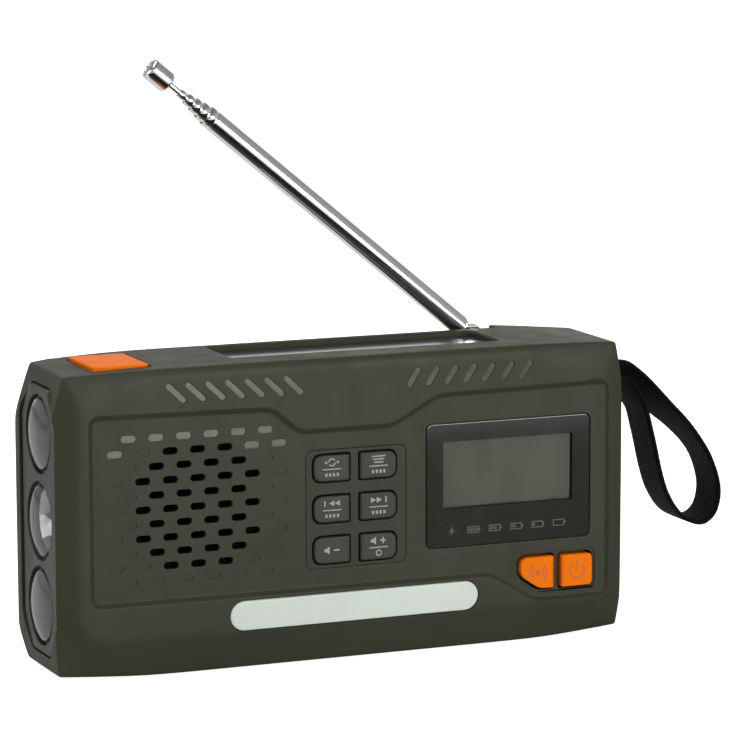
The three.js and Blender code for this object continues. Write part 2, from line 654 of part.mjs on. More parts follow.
// A post under the ledge carries two ears; the mast's tongue turns on a pin between them.
function antennaSwivel() {
  const { x, y, z } = MAST;
  const middleBaseZ = (SWIVEL.baseZ + SWIVEL.baseTopZ) / 2;
  const post = rod('z', [x, y], SWIVEL.postRadius, SWIVEL.flangeZ, middleBaseZ, 12);
  const flange = rod('z', [x, y], SWIVEL.flangeRadius, SWIVEL.flangeZ, SWIVEL.flangeTopZ, 12);
  const base = rod('z', [x, y], SWIVEL.baseRadius, SWIVEL.baseZ, SWIVEL.baseTopZ, 12);
  const ear = (side) => {
    const [y0, y1] = [y + side * SWIVEL.earInner, y + side * SWIVEL.earOuter].sort((a, b) => a - b);
    const eye = rod('y', [x, z], SWIVEL.earRadius, y0, y1, 16);
    const leg = box(x - SWIVEL.earHalf, x + SWIVEL.earHalf, y0, y1, middleBaseZ, z);
    return eye.add(leg);
  };
  const pinHole = rod('y', [x, z], PIN.bore, STEP.frontY, BEYOND.rear, 10);
  return join(post, flange, base, ear(-1), ear(1)).subtract(pinHole);
}

function antennaPin() {
  const { x, y, z } = MAST;
  const shank = rod('y', [x, z], PIN.shankRadius, y - PIN.headInner, y + PIN.headInner, 10);
  const head = (y0, y1) => rod('y', [x, z], PIN.headRadius, y0, y1, 12);
  return join(shank, head(y - PIN.headOuter, y - PIN.headInner), head(y + PIN.headInner, y + PIN.headOuter));
}

// Mast pieces are turned about Y and laid along local +X; the mast group gives them their tilt.
function mastTurned(profile) {
  const geometry = turned(profile, MAST.segments);
  geometry.rotateZ(-Math.PI / 2);
  return solid(geometry);
}

function antennaBase() {
  const { outer, inner, start, plugEnd, end } = MAST_BASE;
  const tube = mastTurned([
    [0, start], [outer, start], [outer, end], [inner, end], [inner, plugEnd], [0, plugEnd],
  ]);
  const { radius, half, neck, reach } = TONGUE;
  const tongue = rod('y', [0, 0], radius, -half, half, 16).add(box(0, reach, -half, half, -neck, neck));
  return tube.add(tongue).subtract(rod('y', [0, 0], PIN.bore, -reach, reach, 10));
}

function mastTube({ outer, inner, start, end }) {
  return mastTurned([[inner, start], [outer, start], [outer, end], [inner, end], [inner, start]]);
}

function antennaTip() {
  const { radius, start, knobStart, knobEnd, knobRadius } = MAST_TIP;
  return mastTurned([
    [0, start], [radius, start], [radius, knobStart], [knobRadius - 0.5, knobStart],
    [knobRadius, knobStart + 0.6], [knobRadius, knobEnd - 0.8], [knobRadius - 1, knobEnd - 0.1], [0, knobEnd],
  ]);
}

function addAntenna() {
  place('antenna_swivel', antennaSwivel(), LOOK.chrome);
  place('antenna_pin', antennaPin(), LOOK.steel);
  const mast = new THREE.Group();
  mast.position.set(MAST.x, MAST.y, MAST.z);
  mast.rotation.y = THREE.MathUtils.degToRad(MAST.tiltDeg - 180);
  radio.add(mast);
  place('antenna_section_1', antennaBase(), LOOK.chrome, mast);
  for (const tube of MAST_TUBES) place(tube.name, mastTube(tube), LOOK.chrome, mast);
  place('antenna_tip', antennaTip(), LOOK.chrome, mast);
}

// ---------------------------------------------------------------- crank and generator

const widened = ([from, to]) => [from - 1, to + 1];

// Spur gear outline with straight-flanked teeth; phase is the angle of the first tooth's centre.
function gearOutline(teeth, module, centre, phase) {
  const pitch = (teeth * module) / 2;
  const tip = pitch + 0.8 * module;
  const root = pitch - 1.1 * module;
  const step = (2 * Math.PI) / teeth;
  const points = [];
  for (let tooth = 0; tooth < teeth; tooth += 1) {
    const middle = phase + tooth * step;
    for (const [share, radius] of [[-0.31, root], [-0.11, tip], [0.11, tip], [0.31, root]]) {
      const angle = middle + share * step;
      points.push([centre[0] + radius * Math.cos(angle), centre[1] + radius * Math.sin(angle)]);
    }
  }
  return polygon(points);
}

const toRadians = THREE.MathUtils.degToRad;
const CRANK_CENTRE = [DISH.x, DISH.z];
const STAGE_ONE_ANGLE = toRadians(GEAR_ANGLES.stageOneDeg);
const stageOneDistance = (GEAR.module * (GEAR.crankTeeth + GEAR.pinionTeeth)) / 2;
const IDLER_CENTRE = [
  DISH.x + stageOneDistance * Math.cos(STAGE_ONE_ANGLE),
  DISH.z + stageOneDistance * Math.sin(STAGE_ONE_ANGLE),
];
const STAGE_TWO_ANGLE = toRadians(GEAR_ANGLES.stageTwoDeg);
const stageTwoDistance = (GEAR.stageTwoModule * (GEAR.wheelTeeth + GEAR.rotorTeeth)) / 2;
const ROTOR_CENTRE = [
  IDLER_CENTRE[0] + stageTwoDistance * Math.cos(STAGE_TWO_ANGLE),
  IDLER_CENTRE[1] + stageTwoDistance * Math.sin(STAGE_TWO_ANGLE),
];

// A tooth gap of the follower faces a tooth of the driver along the line of centres.
const crankPhase = STAGE_ONE_ANGLE;
const idlerPhase = STAGE_ONE_ANGLE + Math.PI + Math.PI / GEAR.pinionTeeth;
const wheelPhase = STAGE_TWO_ANGLE;
const rotorPhase = STAGE_TWO_ANGLE + Math.PI + Math.PI / GEAR.rotorTeeth;

function crankGear() {
  const layer = GEAR_LAYERS.crankGear;
  const gear = alongY(gearOutline(GEAR.crankTeeth, GEAR.module, CRANK_CENTRE, crankPhase), ...layer);
  return gear.subtract(rod('y', CRANK_CENTRE, CRANK.shaftRadius + GAP, ...widened(layer), 16));
}

function idlerGear() {
  const small = gearOutline(GEAR.pinionTeeth, GEAR.module, IDLER_CENTRE, idlerPhase);
  const large = gearOutline(GEAR.wheelTeeth, GEAR.stageTwoModule, IDLER_CENTRE, wheelPhase);
  const axle = rod('y', IDLER_CENTRE, AXLE.idlerRadius, ...GEAR_LAYERS.idlerAxle, 12);
  return join(alongY(small, ...GEAR_LAYERS.idlerPinion), alongY(large, ...GEAR_LAYERS.idlerWheel), axle);
}

function generatorRotor() {
  const outline = gearOutline(GEAR.rotorTeeth, GEAR.stageTwoModule, ROTOR_CENTRE, rotorPhase);
  const shaft = rod('y', ROTOR_CENTRE, AXLE.rotorRadius, ...GEAR_LAYERS.rotorShaft, 10);
  return alongY(outline, ...GEAR_LAYERS.rotorPinion).add(shaft);
}

function gearboxPlate() {
  const outline = roundedRectangle(PLATE.x0, PLATE.x1, PLATE.z0, PLATE.z1, PLATE.cornerRadius);
  const span = widened(GEAR_LAYERS.plate);
  return cut(
    alongY(outline, ...GEAR_LAYERS.plate),
    rod('y', CRANK_CENTRE, CRANK.shaftRadius + GAP, ...span, 14),
    rod('y', IDLER_CENTRE, AXLE.idlerBore, ...span, 12),
    rod('y', ROTOR_CENTRE, AXLE.rotorBore, ...span, 12),
  );
}

function generator() {
  const { radius, y0, y1, bossRadius, bossY0, boreY0 } = GENERATOR;
  const can = rod('y', ROTOR_CENTRE, radius, y0, y1, 24);
  const boss = rod('y', ROTOR_CENTRE, bossRadius, bossY0, y0 + GAP, 14);
  return can.add(boss).subtract(rod('y', ROTOR_CENTRE, AXLE.rotorBore, boreY0, 0, 12));
}

// The arm is a frame of two rails and an end bar, so the knob can lie folded between the rails.
function crankArm() {
  const [x, z] = CRANK_CENTRE;
  const { armReach, armHalfWidth, armY0, armY1, railWidth, windowHalf } = CRANK;
  const endX = x - armReach;
  const rail = (z0, z1) => box(endX + railWidth / 2, x, armY0, armY1, z0, z1);
  const upperRail = rail(z + windowHalf, z + armHalfWidth);
  const lowerRail = rail(z - armHalfWidth, z - windowHalf);
  const barOutline = roundedRectangle(endX, endX + railWidth, z - armHalfWidth, z + armHalfWidth, 0.9);
  const endBar = alongY(barOutline, armY0, armY1);
  const hub = rod('y', CRANK_CENTRE, CRANK.hubRadius, CRANK.hubY0, CRANK.hubY1, 28);
  const shaft = rod('y', CRANK_CENTRE, CRANK.shaftRadius, CRANK.shaftY0, armY0, 16);
  const windowX0 = endX + railWidth;
  const windowX1 = x - CRANK.windowInner;
  const knobPocket = rod('x', [KNOB.y, z], windowHalf, windowX0, windowX1, 16);
  const swingSlot = box(windowX0, windowX1, KNOB.y, BEYOND.rear, z - windowHalf, z + windowHalf);
  return cut(join(hub, shaft, upperRail, lowerRail, endBar), knobPocket, swingSlot, knobPinHole());
}

function knobPinHole() {
  const [x, z] = CRANK_CENTRE;
  const reach = 2 * CRANK.armHalfWidth;
  return rod('z', [x - CRANK.knobPivot, KNOB.y], KNOB_PIN.bore, z - reach, z + reach, 10);
}

function knobCarrier() {
  const [x, z] = CRANK_CENTRE;
  const pivotX = x - CRANK.knobPivot;
  const half = KNOB_PIN.blockHalf;
  const block = rod('z', [pivotX, KNOB.y], KNOB_PIN.blockRadius, z - half, z + half, 16);
  const stem = rod('x', [KNOB.y, z], KNOB.stemRadius, pivotX, pivotX + KNOB.end - KNOB.cap - GAP, 12);
  return block.add(stem).subtract(knobPinHole());
}

function knobPin() {
  const [x, z] = CRANK_CENTRE;
  return rod('z', [x - CRANK.knobPivot, KNOB.y], KNOB_PIN.radius, z - KNOB_PIN.half, z + KNOB_PIN.half, 10);
}

function crankKnob() {
  const [x, z] = CRANK_CENTRE;
  const { radius, start, end, stemRadius, cap } = KNOB;
  const profile = [
    [0, end], [radius - 0.8, end], [radius, end - 0.9], [radius - 0.5, (start + end) / 2],
    [radius, start + 0.9], [radius - 0.8, start], [stemRadius + GAP, start],
    [stemRadius + GAP, end - cap], [0, end - cap],
  ];
  const geometry = turned(profile, 20);
  geometry.rotateZ(-Math.PI / 2);
  geometry.translate(x - CRANK.knobPivot, KNOB.y, z);
  return solid(geometry);
}

// ---------------------------------------------------------------- power

function lithiumCell() {
  const { y, z, radius, x0, x1 } = LITHIUM_CELL;
  return rod('x', [y, z], radius, x0, x1, 24);
}

function batteryTray() {
  const { x0, x1, z0, z1, y0, y1, wall, ribZ, ribY } = TRAY;
  const inside = box(x0 + wall, x1 - wall, y0 + wall, BEYOND.rear, z0 + wall, z1 - wall);
  const rib = (z) => box(x0 + 1, x1 - 1, y0 + 1, ribY, z - 0.4, z + 0.4);
  return join(box(x0, x1, y0, y1, z0, z1).subtract(inside), ...ribZ.map(rib));
}

// One end of the battery bay: a plate with a stub for each dry cell, pointing towards the cells.
function contactPlate(x0, stubRadius, stubX0, stubX1) {
  const { thickness, y0, y1, z0, z1 } = CONTACT;
  const plate = box(x0, x0 + thickness, y0, y1, z0, z1);
  return join(plate, ...CELL.z.map((z) => rod('x', [CELL.y, z], stubRadius, stubX0, stubX1, 10)));
}

const springContacts = () => contactPlate(CONTACT.springX, 2.6, CONTACT.springX + 0.5, CONTACT.springX + 4.2);
const buttonContacts = () => contactPlate(CONTACT.buttonX, 2.2, CONTACT.buttonX - 2.6, CONTACT.buttonX + 0.1);

function dryCell(z) {
  const { x, length, radius, y, nubRadius } = CELL;
  const half = length / 2;
  const profile = [
    [0, -half], [radius - 0.5, -half], [radius, -half + 0.5], [radius, half - 1.5],
    [radius - 0.5, half - 1], [nubRadius, half - 1], [nubRadius, half], [0, half],
  ];
  const geometry = turned(profile, 16);
  geometry.rotateZ(-Math.PI / 2);
  geometry.translate(x, y, z);
  return solid(geometry);
}

function batteryDoor() {
  const { hingeY, hingeZ, thickness } = DOOR;
  const x0 = TRAY.x0 + GAP;
  const x1 = TRAY.x1 - GAP;
  const plate = box(x0, x1, hingeY - thickness / 2, hingeY + thickness / 2, hingeZ, TRAY.z1 + 1 - GAP);
  const roll = rod('x', [hingeY, hingeZ], thickness / 2, x0, x1, 12);
  const grip = box(DOOR.gripX0, DOOR.gripX1, hingeY + GAP, BEYOND.rear, TRAY.z1 - 5, TRAY.z1 - 1.5);
  return plate.add(roll).subtract(grip);
}

// ---------------------------------------------------------------- strap and ports

// Centre line of the strap loop in (x, z), from the upper side of the bar round to its lower side.
const strapPath = new THREE.CatmullRomCurve3(
  [
    [83.95, 74.1], [91.5, 76.6], [99, 73.2], [107.8, 65.2], [115.6, 56.8], [121.9, 47.6], [124.8, 38],
    [124.2, 31], [121.4, 27.4], [117.4, 26.9], [112.2, 29.7], [108.4, 35.6], [105.6, 42.6], [102.3, 55],
    [99.6, 63], [93.5, 69.4], [83.95, 71.9],
  ].map(([x, z]) => new THREE.Vector3(x, STRAP.centreY, z)),
);

function wristStrap() {
  const geometry = new THREE.BoxGeometry(1, STRAP.width, STRAP.thickness, STRAP.steps, 1, 1);
  const position = geometry.attributes.position;
  for (let index = 0; index < position.count; index += 1) {
    const along = Math.min(1, Math.max(0, position.getX(index) + 0.5));
    const point = strapPath.getPointAt(along);
    const tangent = strapPath.getTangentAt(along);
    const offset = position.getZ(index);
    position.setXYZ(
      index,
      point.x - tangent.z * offset,
      point.y + position.getY(index),
      point.z + tangent.x * offset,
    );
  }
  return solid(geometry);
}

function portFlap() {
  const { z0, z1, y0, y1, outerX, thickness, hingeRadius } = FLAP;
  const plate = box(outerX - thickness, outerX, y0, y1 - hingeRadius, z0, z1);
  const roll = rod('z', [outerX - hingeRadius, y1 - hingeRadius], hingeRadius, z0, z1, 12);
  return plate.add(roll);
}

function usbPort() {
  const { x, y, usbZ } = PORTS;
  const { length, halfWidth, halfHeight, shell, mouthX } = USB;
  const innerWidth = halfWidth - shell;
  const innerHeight = halfHeight - shell;
  const can = box(x - length, x, y - halfWidth, y + halfWidth, usbZ - halfHeight, usbZ + halfHeight);
  const mouth = box(
    x + mouthX, BEYOND.right, y - innerWidth, y + innerWidth, usbZ - innerHeight, usbZ + innerHeight,
  );
  return can.subtract(mouth);
}

function headphoneJack() {
  const { x, y, jackZ } = PORTS;
  const { length, blockHalfY, blockHalfZ, barrelRadius, boreRadius } = JACK;
  const block = box(
    x - length, x - 1.2, y - blockHalfY, y + blockHalfY, jackZ - blockHalfZ, jackZ + blockHalfZ,
  );
  const barrel = rod('x', [y, jackZ], barrelRadius, x - 2, x, 14);
  const bore = rod('x', [y, jackZ], boreRadius, x - length + 2, BEYOND.right, 12);
  return block.add(barrel).subtract(bore);
}

function caseScrew({ x, z }) {
  const { headRadius, headY, headTopY } = BOSS;
  const { shankRadius, tipY, slotLong, slotShort, slotDepth } = SCREW;
  const shank = rod('y', [x, z], shankRadius, tipY, headY + 2 * GAP, 10);
  const head = rod('y', [x, z], headRadius, headY + GAP, headTopY, 14);
  const slot = (width, height) =>
    box(x - width, x + width, headTopY - slotDepth, BEYOND.rear, z - height, z + height);
  return cut(shank.add(head), slot(slotLong, slotShort), slot(slotShort, slotLong));
}

// ---------------------------------------------------------------- assembly

place('front_shell', frontShell(), LOOK.shell);
place('rear_shell', rearShell(), LOOK.shell);

place('torch_bezel', torchBezel(), LOOK.greyPlastic);
['top', 'middle', 'bottom'].forEach((spot, index) => {
  place(`torch_lens_${spot}`, lampPiece(lensProfile, LAMP.z[index]), LOOK.clearLens);
  place(`torch_reflector_${spot}`, lampPiece(reflectorProfile, LAMP.z[index]), LOOK.mirror);
});
place('torch_led_board', torchBoard(), LOOK.circuit);
place('torch_button', alongZ(torchKeyOutline(GAP), TORCH_KEY.bottom, TORCH_KEY.top), LOOK.orangePlastic);

place('display_window', displayWindow(), LOOK.windowGlass);
place('lcd_module', lcdModule(), LOOK.lcdGlass);
const keyNames = [
  ['mode_key', 'menu_key'],
  ['tune_down_key', 'tune_up_key'],
  ['volume_down_key', 'volume_up_key'],
];
keyNames.forEach((names, row) => {
  names.forEach((name, column) => {
    place(name, keyCap(keyOutline(column, row, KEY.sideGap), KEY.frontY), LOOK.keyPlastic);
  });
});
place('sos_button', keyCap(sosOutline(KEY.sideGap), ORANGE_KEY_FRONT_Y), LOOK.orangePlastic);
place('power_button', keyCap(powerOutline(KEY.sideGap), ORANGE_KEY_FRONT_Y), LOOK.orangePlastic);
place('main_board', mainBoard(), LOOK.circuit);

place('lamp_diffuser', lampDiffuser(), LOOK.whiteDiffuser);
place('lamp_led_board', lampBoard(), LOOK.circuit);

place('speaker_frame', speakerPiece(frameProfile).add(speakerMagnet()), LOOK.steel);
place('speaker_cone', speakerPiece(coneProfile), LOOK.paper);

place(
  'solar_panel',
  box(SOLAR.x0 + GAP, SOLAR.x1 - GAP, SOLAR.y0 + GAP, SOLAR.y1 - GAP, SOLAR.bottom, SOLAR.top),
  LOOK.solarGlass,
);

addAntenna();

place('crank_arm', crankArm(), LOOK.shell);
place('crank_knob_carrier', knobCarrier(), LOOK.darkPlastic);
place('crank_knob_pin', knobPin(), LOOK.steel);
place('crank_knob', crankKnob(), LOOK.darkPlastic);
place('crank_gear', crankGear(), LOOK.gearPlastic);
place('idler_gear', idlerGear(), LOOK.gearPlastic);
place('generator_rotor', generatorRotor(), LOOK.brass);
place('generator', generator(), LOOK.steel);
place('gearbox_plate', gearboxPlate(), LOOK.darkPlastic);

place('lithium_cell', lithiumCell(), LOOK.cellWrap);
place('battery_tray', batteryTray(), LOOK.darkPlastic);
place('battery_door', batteryDoor(), LOOK.shell);
place('spring_contacts', springContacts(), LOOK.steel);
place('button_contacts', buttonContacts(), LOOK.steel);
CELL.z.forEach((z, index) => place(`dry_cell_${index + 1}`, dryCell(z), LOOK.cellWrap));

place('wrist_strap', wristStrap(), LOOK.webbing);
place('port_flap', portFlap(), LOOK.rubber);
place('usb_port', usbPort(), LOOK.steel);
place('headphone_jack', headphoneJack(), LOOK.darkPlastic);
BOSSES.forEach((boss, index) => place(`case_screw_${index + 1}`, caseScrew(boss), LOOK.steel));

export default radio;
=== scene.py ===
"""Looks of the wind-up emergency radio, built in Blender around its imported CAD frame.

Shapes are drawn in millimetres in the frame's own axes and scaled to metres when a piece is finished.
+X is the strap end, -X the torch end, -Y the control face, +Y the crank face and +Z is up.
"""

import math

import bmesh
import bpy
import numpy as np
from mathutils import Matrix, Vector


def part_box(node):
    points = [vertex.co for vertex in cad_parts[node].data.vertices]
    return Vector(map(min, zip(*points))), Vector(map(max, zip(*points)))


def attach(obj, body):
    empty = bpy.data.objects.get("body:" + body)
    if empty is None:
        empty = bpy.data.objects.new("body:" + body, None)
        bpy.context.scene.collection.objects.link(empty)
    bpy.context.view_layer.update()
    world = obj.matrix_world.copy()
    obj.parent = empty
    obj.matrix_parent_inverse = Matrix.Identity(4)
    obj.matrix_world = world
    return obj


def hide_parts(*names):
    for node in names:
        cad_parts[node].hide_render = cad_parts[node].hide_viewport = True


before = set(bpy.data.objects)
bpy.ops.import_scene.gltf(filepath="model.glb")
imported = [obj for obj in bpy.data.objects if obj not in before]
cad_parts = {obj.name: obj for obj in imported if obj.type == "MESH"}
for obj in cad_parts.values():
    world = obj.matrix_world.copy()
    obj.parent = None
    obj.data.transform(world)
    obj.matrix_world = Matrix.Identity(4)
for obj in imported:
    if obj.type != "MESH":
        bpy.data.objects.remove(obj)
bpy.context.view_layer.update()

# ------------------------------------------------------------------ driving dimensions, millimetres

MM = 0.001
GAP = 0.3
BEYOND = 120.0  # a length past every side of the body, for cutting tools

FRONT_Y, REAR_Y, BODY_TOP = -20.5, 20.5, 86.0
STRAP_END = {"half": 85.0, "edge": -19.2}  # half length, and where the end face meets the front bevel
TORCH_END = {"half": 86.1, "edge": -17.8}
TOP_REAR_RISE = 0.65
BEZEL_RISE, TORCH_KEY_RISE = 0.9, 0.45
EDGE_SOFTNESS = 0.25
SEAM_Y = 11.5
SEAM_JOG = {"x": (-75.0, -49.0), "y": 13.0, "z": 79.0}
CAVITY_SCALE = (0.974, 0.873, 0.949)
SOLAR_WALL, LEDGE_WALL = 1.9, 2.0

PANEL_Y, CUT_Y = -19.5, -15.0
FIELD_DEPTH, ORANGE_SEAT_DEPTH, WINDOW_SEAT_DEPTH = 0.15, 0.35, 1.1
KEY_GAP, ORANGE_KEY_SHRINK = 0.42, 0.25
SOS_CUT = (6.4, 4.4)  # width and height of the slanted corner of the alarm key
KEY_FIELD = (-12.9, 17.1, 26.5, 59.9)
POST_RADIUS, SLEEVE_RADIUS = 2.9, 3.6
LCD_FACE = (28.8, 68.8, 40.6, 59.5)  # x and z extents of the display's visible face
INK_RISE = 0.02

SPEAKER_X, SPEAKER_Z = -45.0, 47.0
SLOT_PITCH, SLOT_LENGTH, SLOT_WIDTH = 4.0, 4.4, 2.0
SLOT_ROWS, SLOT_OPEN_RADIUS, SLOT_BLIND_DEPTH = 11, 4.75, 0.25

SLASH_COUNT, SLASH_PITCH, SLASH_WIDTH, SLASH_DEPTH = 7, 5.76, 1.75, 0.35
SLASH_Z = (76.65, 81.35)
SLASH_ROWS = ((-53.9, 5.0), (17.8, -3.15))  # first groove's x and how far each groove leans

LEDGE_X, LEDGE_Y, LEDGE_Z = (-77.0, 60.0), 12.8, 80.3

MAST_PIVOT = Vector((52.5, 16.6, 84.6))
MAST_TILT = math.radians(39.5)
EAR_RADIUS, PIN_HOLE_RADIUS = 3.0, 1.2

DISH_X, DISH_Z, DISH_RADIUS, DISH_FLOOR, DISH_WALL = -30.0, 41.5, 34.5, 11.5, 1.8
KNOB_X, KNOB_Y = DISH_X - 26.7, 16.5  # hinge of the folding knob
SCREW_SEAT_Y, SCREW_SEAT_RADIUS = 18.2, 2.9

STRAP_BAR_X, STRAP_BAR_Z, STRAP_BAR_RADIUS = 82.2, 73.0, 1.2
STRAP_Y, STRAP_WIDTH, STRAP_THICKNESS = 1.0, 14.6, 1.4
STRAP_TWIST = math.radians(27)
STRAP_POCKET = (-7.3, 9.3, 67, 79)
STRAP_POCKET_ROOM = (78.2, BEYOND, -8.6, 10.6, 65.7, 80.3)
PORT_SEAT_X, SOCKET_SEAT_X, JACK_HOLE = 83.4, 80.0, 6.4
DOOR_GRIP = (38, 52, 46, 49.5)

LAMPS = ("top", "middle", "bottom")
LEFT_KEYS = ("mode_key", "tune_down_key", "volume_down_key")
RIGHT_KEYS = ("menu_key", "tune_up_key", "volume_up_key")
ORANGE_KEYS = ("sos_button", "power_button")


# ------------------------------------------------------------------ outlines

def rounded(points, radii, steps=6):
    """Closed outline whose corners are quadratic curves that start the given distance from each corner."""
    if not isinstance(radii, (list, tuple)):
        radii = [radii] * len(points)
    outline = []
    for index, radius in enumerate(radii):
        corner = Vector(points[index])
        before = (Vector(points[index - 1]) - corner).normalized()
        after = (Vector(points[(index + 1) % len(points)]) - corner).normalized()
        start, end = corner + before * radius, corner + after * radius
        for step in range(steps + 1):
            t = step / steps
            outline.append(tuple(start * (1 - t) ** 2 + corner * 2 * t * (1 - t) + end * t * t))
    return outline


def rectangle(a0, a1, b0, b1, radii):
    return rounded([(a0, b0), (a1, b0), (a1, b1), (a0, b1)], radii)


def circle(a, b, radius, count=64):
    return [(a + radius * math.cos(t), b + radius * math.sin(t))
            for t in np.linspace(0, 2 * math.pi, count, endpoint=False)]


def stadium(a, b, length, height, turn=0.0, steps=8):
    """A slot shape centred on (a, b), turned anticlockwise by the angle in radians."""
    radius = height / 2
    reach = length / 2 - radius
    outline = []
    for side, start in ((1, -math.pi / 2), (-1, math.pi / 2)):
        for step in range(steps + 1):
            angle = start + math.pi * step / steps
            outline.append((side * reach + radius * math.cos(angle), radius * math.sin(angle)))
    cos, sin = math.cos(turn), math.sin(turn)
    return [(a + u * cos - v * sin, b + u * sin + v * cos) for u, v in outline]


def grown(outline, distance):
    """The outline moved outwards by a distance; its points run anticlockwise."""
    result = []
    for index, point in enumerate(outline):
        here = Vector(point)
        before = here - Vector(outline[index - 1])
        after = Vector(outline[(index + 1) % len(outline)]) - here
        normals = [Vector((edge.y, -edge.x)).normalized() for edge in (before, after) if edge.length > 1e-6]
        scale = distance
        if len(normals) == 2:
            scale = distance / max(0.3, 1 + normals[0].dot(normals[1]))
        result.append(tuple(here + sum(normals, Vector((0, 0))) * scale))
    return result


def quarter_turn(steps):
    """Cosine and sine at even steps over a quarter turn."""
    angles = [math.pi / 2 * step / steps for step in range(steps + 1)]
    return [(math.cos(angle), math.sin(angle)) for angle in angles]


# ------------------------------------------------------------------ frame measurements

FACE = {"x": (2, 3, 4, 5), "y": (0, 1, 4, 5), "z": (0, 1, 2, 3)}  # places in a box that span a face


def node_box(name):
    """Lowest and highest corner of a CAD node in millimetres: (x0, x1, y0, y1, z0, z1)."""
    low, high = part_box(name)
    return tuple(v / MM for pair in zip(low, high) for v in pair)


def node_face(name, axis):
    """Extents of a CAD node seen along an axis: (a0, a1, b0, b1)."""
    box = node_box(name)
    return [box[place] for place in FACE[axis]]


def node_outline(name, axis, radii, grow=0.0):
    """Rounded outline of a CAD node seen along an axis, larger by a distance on every side."""
    a0, a1, b0, b1 = node_face(name, axis)
    return rectangle(a0 - grow, a1 + grow, b0 - grow, b1 + grow, radii)


def node_middle(name, axis):
    a0, a1, b0, b1 = node_face(name, axis)
    return (a0 + a1) / 2, (b0 + b1) / 2


# ------------------------------------------------------------------ solids, as bmesh in millimetres

AXES = {
    "x": lambda u, v, w: (w, u, v),
    "y": lambda u, v, w: (u, w, v),
    "z": lambda u, v, w: (u, v, w),
}


def prism(outline, levels, axis):
    """A solid whose section is the outline grown by each level's amount; levels are (place, growth) pairs."""
    bm = bmesh.new()
    rings = []
    for place, growth in levels:
        ring = grown(outline, growth) if growth else outline
        rings.append([bm.verts.new(AXES[axis](u, v, place)) for u, v in ring])
    for low, high in zip(rings, rings[1:]):
        for index in range(len(outline)):
            after = (index + 1) % len(outline)
            bm.faces.new((low[index], low[after], high[after], high[index]))
    bm.faces.new(rings[0])
    bm.faces.new(rings[-1])
    bmesh.ops.remove_doubles(bm, verts=bm.verts, dist=1e-4)
    bmesh.ops.recalc_face_normals(bm, faces=bm.faces)
    return bm


def block(x0, x1, y0, y1, z0, z1):
    return prism([(x0, y0), (x1, y0), (x1, y1), (x0, y1)], [(z0, 0), (z1, 0)], "z")


def lathe(profile, segments, matrix=Matrix(), closed=False):
    """Turns (radius, distance) pairs about the local X axis of the matrix. Open profiles end on the axis."""
    bm = bmesh.new()
    rings = []
    for radius, along in profile:
        turns = [2 * math.pi * index / segments for index in range(segments)] if radius > 1e-6 else [0]
        rings.append([bm.verts.new((along, radius * math.cos(a), radius * math.sin(a))) for a in turns])
    pairs = list(zip(rings, rings[1:]))
    if closed:
        pairs.append((rings[-1], rings[0]))
    for first, second in pairs:
        for index in range(segments):
            after = (index + 1) % segments
            corners = [first[index % len(first)], first[after % len(first)],
                       second[after % len(second)], second[index % len(second)]]
            unique = list(dict.fromkeys(corners))
            if len(unique) > 2:
                bm.faces.new(unique)
    bmesh.ops.recalc_face_normals(bm, faces=bm.faces)
    bm.transform(matrix)
    return bm


def axis_matrix(origin, x_axis, y_axis=(0, 1, 0)):
    """Matrix that lays local X along x_axis and local Y near y_axis."""
    x = Vector(x_axis).normalized()
    z = x.cross(Vector(y_axis)).normalized()
    columns = Matrix((x, z.cross(x), z)).transposed().to_4x4()
    return Matrix.Translation(Vector(origin)) @ columns


def rod(axis, centre, radius, start, end, segments=48, chamfer=0.0):
    """A cylinder along X, Y or Z, centred on the other two coordinates, with chamfered ends."""
    turns = [2 * math.pi * index / segments for index in range(segments)]
    outline = [(centre[0] + radius * math.cos(a), centre[1] + radius * math.sin(a)) for a in turns]
    levels = [(start, 0), (end, 0)]
    if chamfer:
        levels = [(start, -chamfer), (start + chamfer, 0), (end - chamfer, 0), (end, -chamfer)]
    return prism(outline, levels, axis)


def convex(points):
    bm = bmesh.new()
    for point in points:
        bm.verts.new(point)
    made = bmesh.ops.convex_hull(bm, input=bm.verts)
    spare = {v for v in made["geom_interior"] + made["geom_unused"] if isinstance(v, bmesh.types.BMVert)}
    bmesh.ops.delete(bm, geom=list(spare), context="VERTS")
    bmesh.ops.dissolve_limit(bm, angle_limit=math.radians(0.2), verts=bm.verts, edges=bm.edges)
    bmesh.ops.recalc_face_normals(bm, faces=bm.faces)
    return bm


def soft_convex(points, softness, levels=(0.0, -0.7, -1.6, -3.0, -6.0)):
    """The convex solid through the points with blended edges; shallow ones fade more widely than square ones.

    The surface is where the soft maximum of the distances to all faces is zero, so flat faces stay in place.
    """
    bm = convex(points)
    normals = np.array([face.normal for face in bm.faces])
    offsets = np.array([face.normal.dot(face.verts[0].co) for face in bm.faces])
    bm.faces.index_update()
    shares = [(a, b, c) for a in levels for b in levels for c in levels if max(a, b, c) == 0.0]

    def settled(place):
        """The nearby point where the soft maximum is zero."""
        for _ in range(6):
            depths = (normals @ place - offsets) / softness
            pull = np.exp(depths - depths.max())
            level = softness * (math.log(pull.sum()) + depths.max())
            slope = (pull[:, None] * normals).sum(axis=0) / pull.sum()
            place = place - slope * level / slope.dot(slope)
        return tuple(place)

    cloud = []
    for vert in bm.verts:
        around = [face.index for face in vert.link_faces]
        centre = Vector(normals[around].mean(axis=0)).normalized()
        start = (Vector(normals[around[0]]) - centre).normalized()
        other = centre.cross(start)
        around.sort(key=lambda i: math.atan2(Vector(normals[i]).dot(other), Vector(normals[i]).dot(start)))
        for second, third in zip(around[1:], around[2:]):
            trio = [around[0], second, third]
            for share in shares:
                weights = np.exp(share)
                wanted = offsets[trio] + softness * np.log(weights / weights.sum())
                cloud.append(settled(np.linalg.lstsq(normals[trio], wanted, rcond=None)[0]))
    bm.free()
    return convex(cloud)


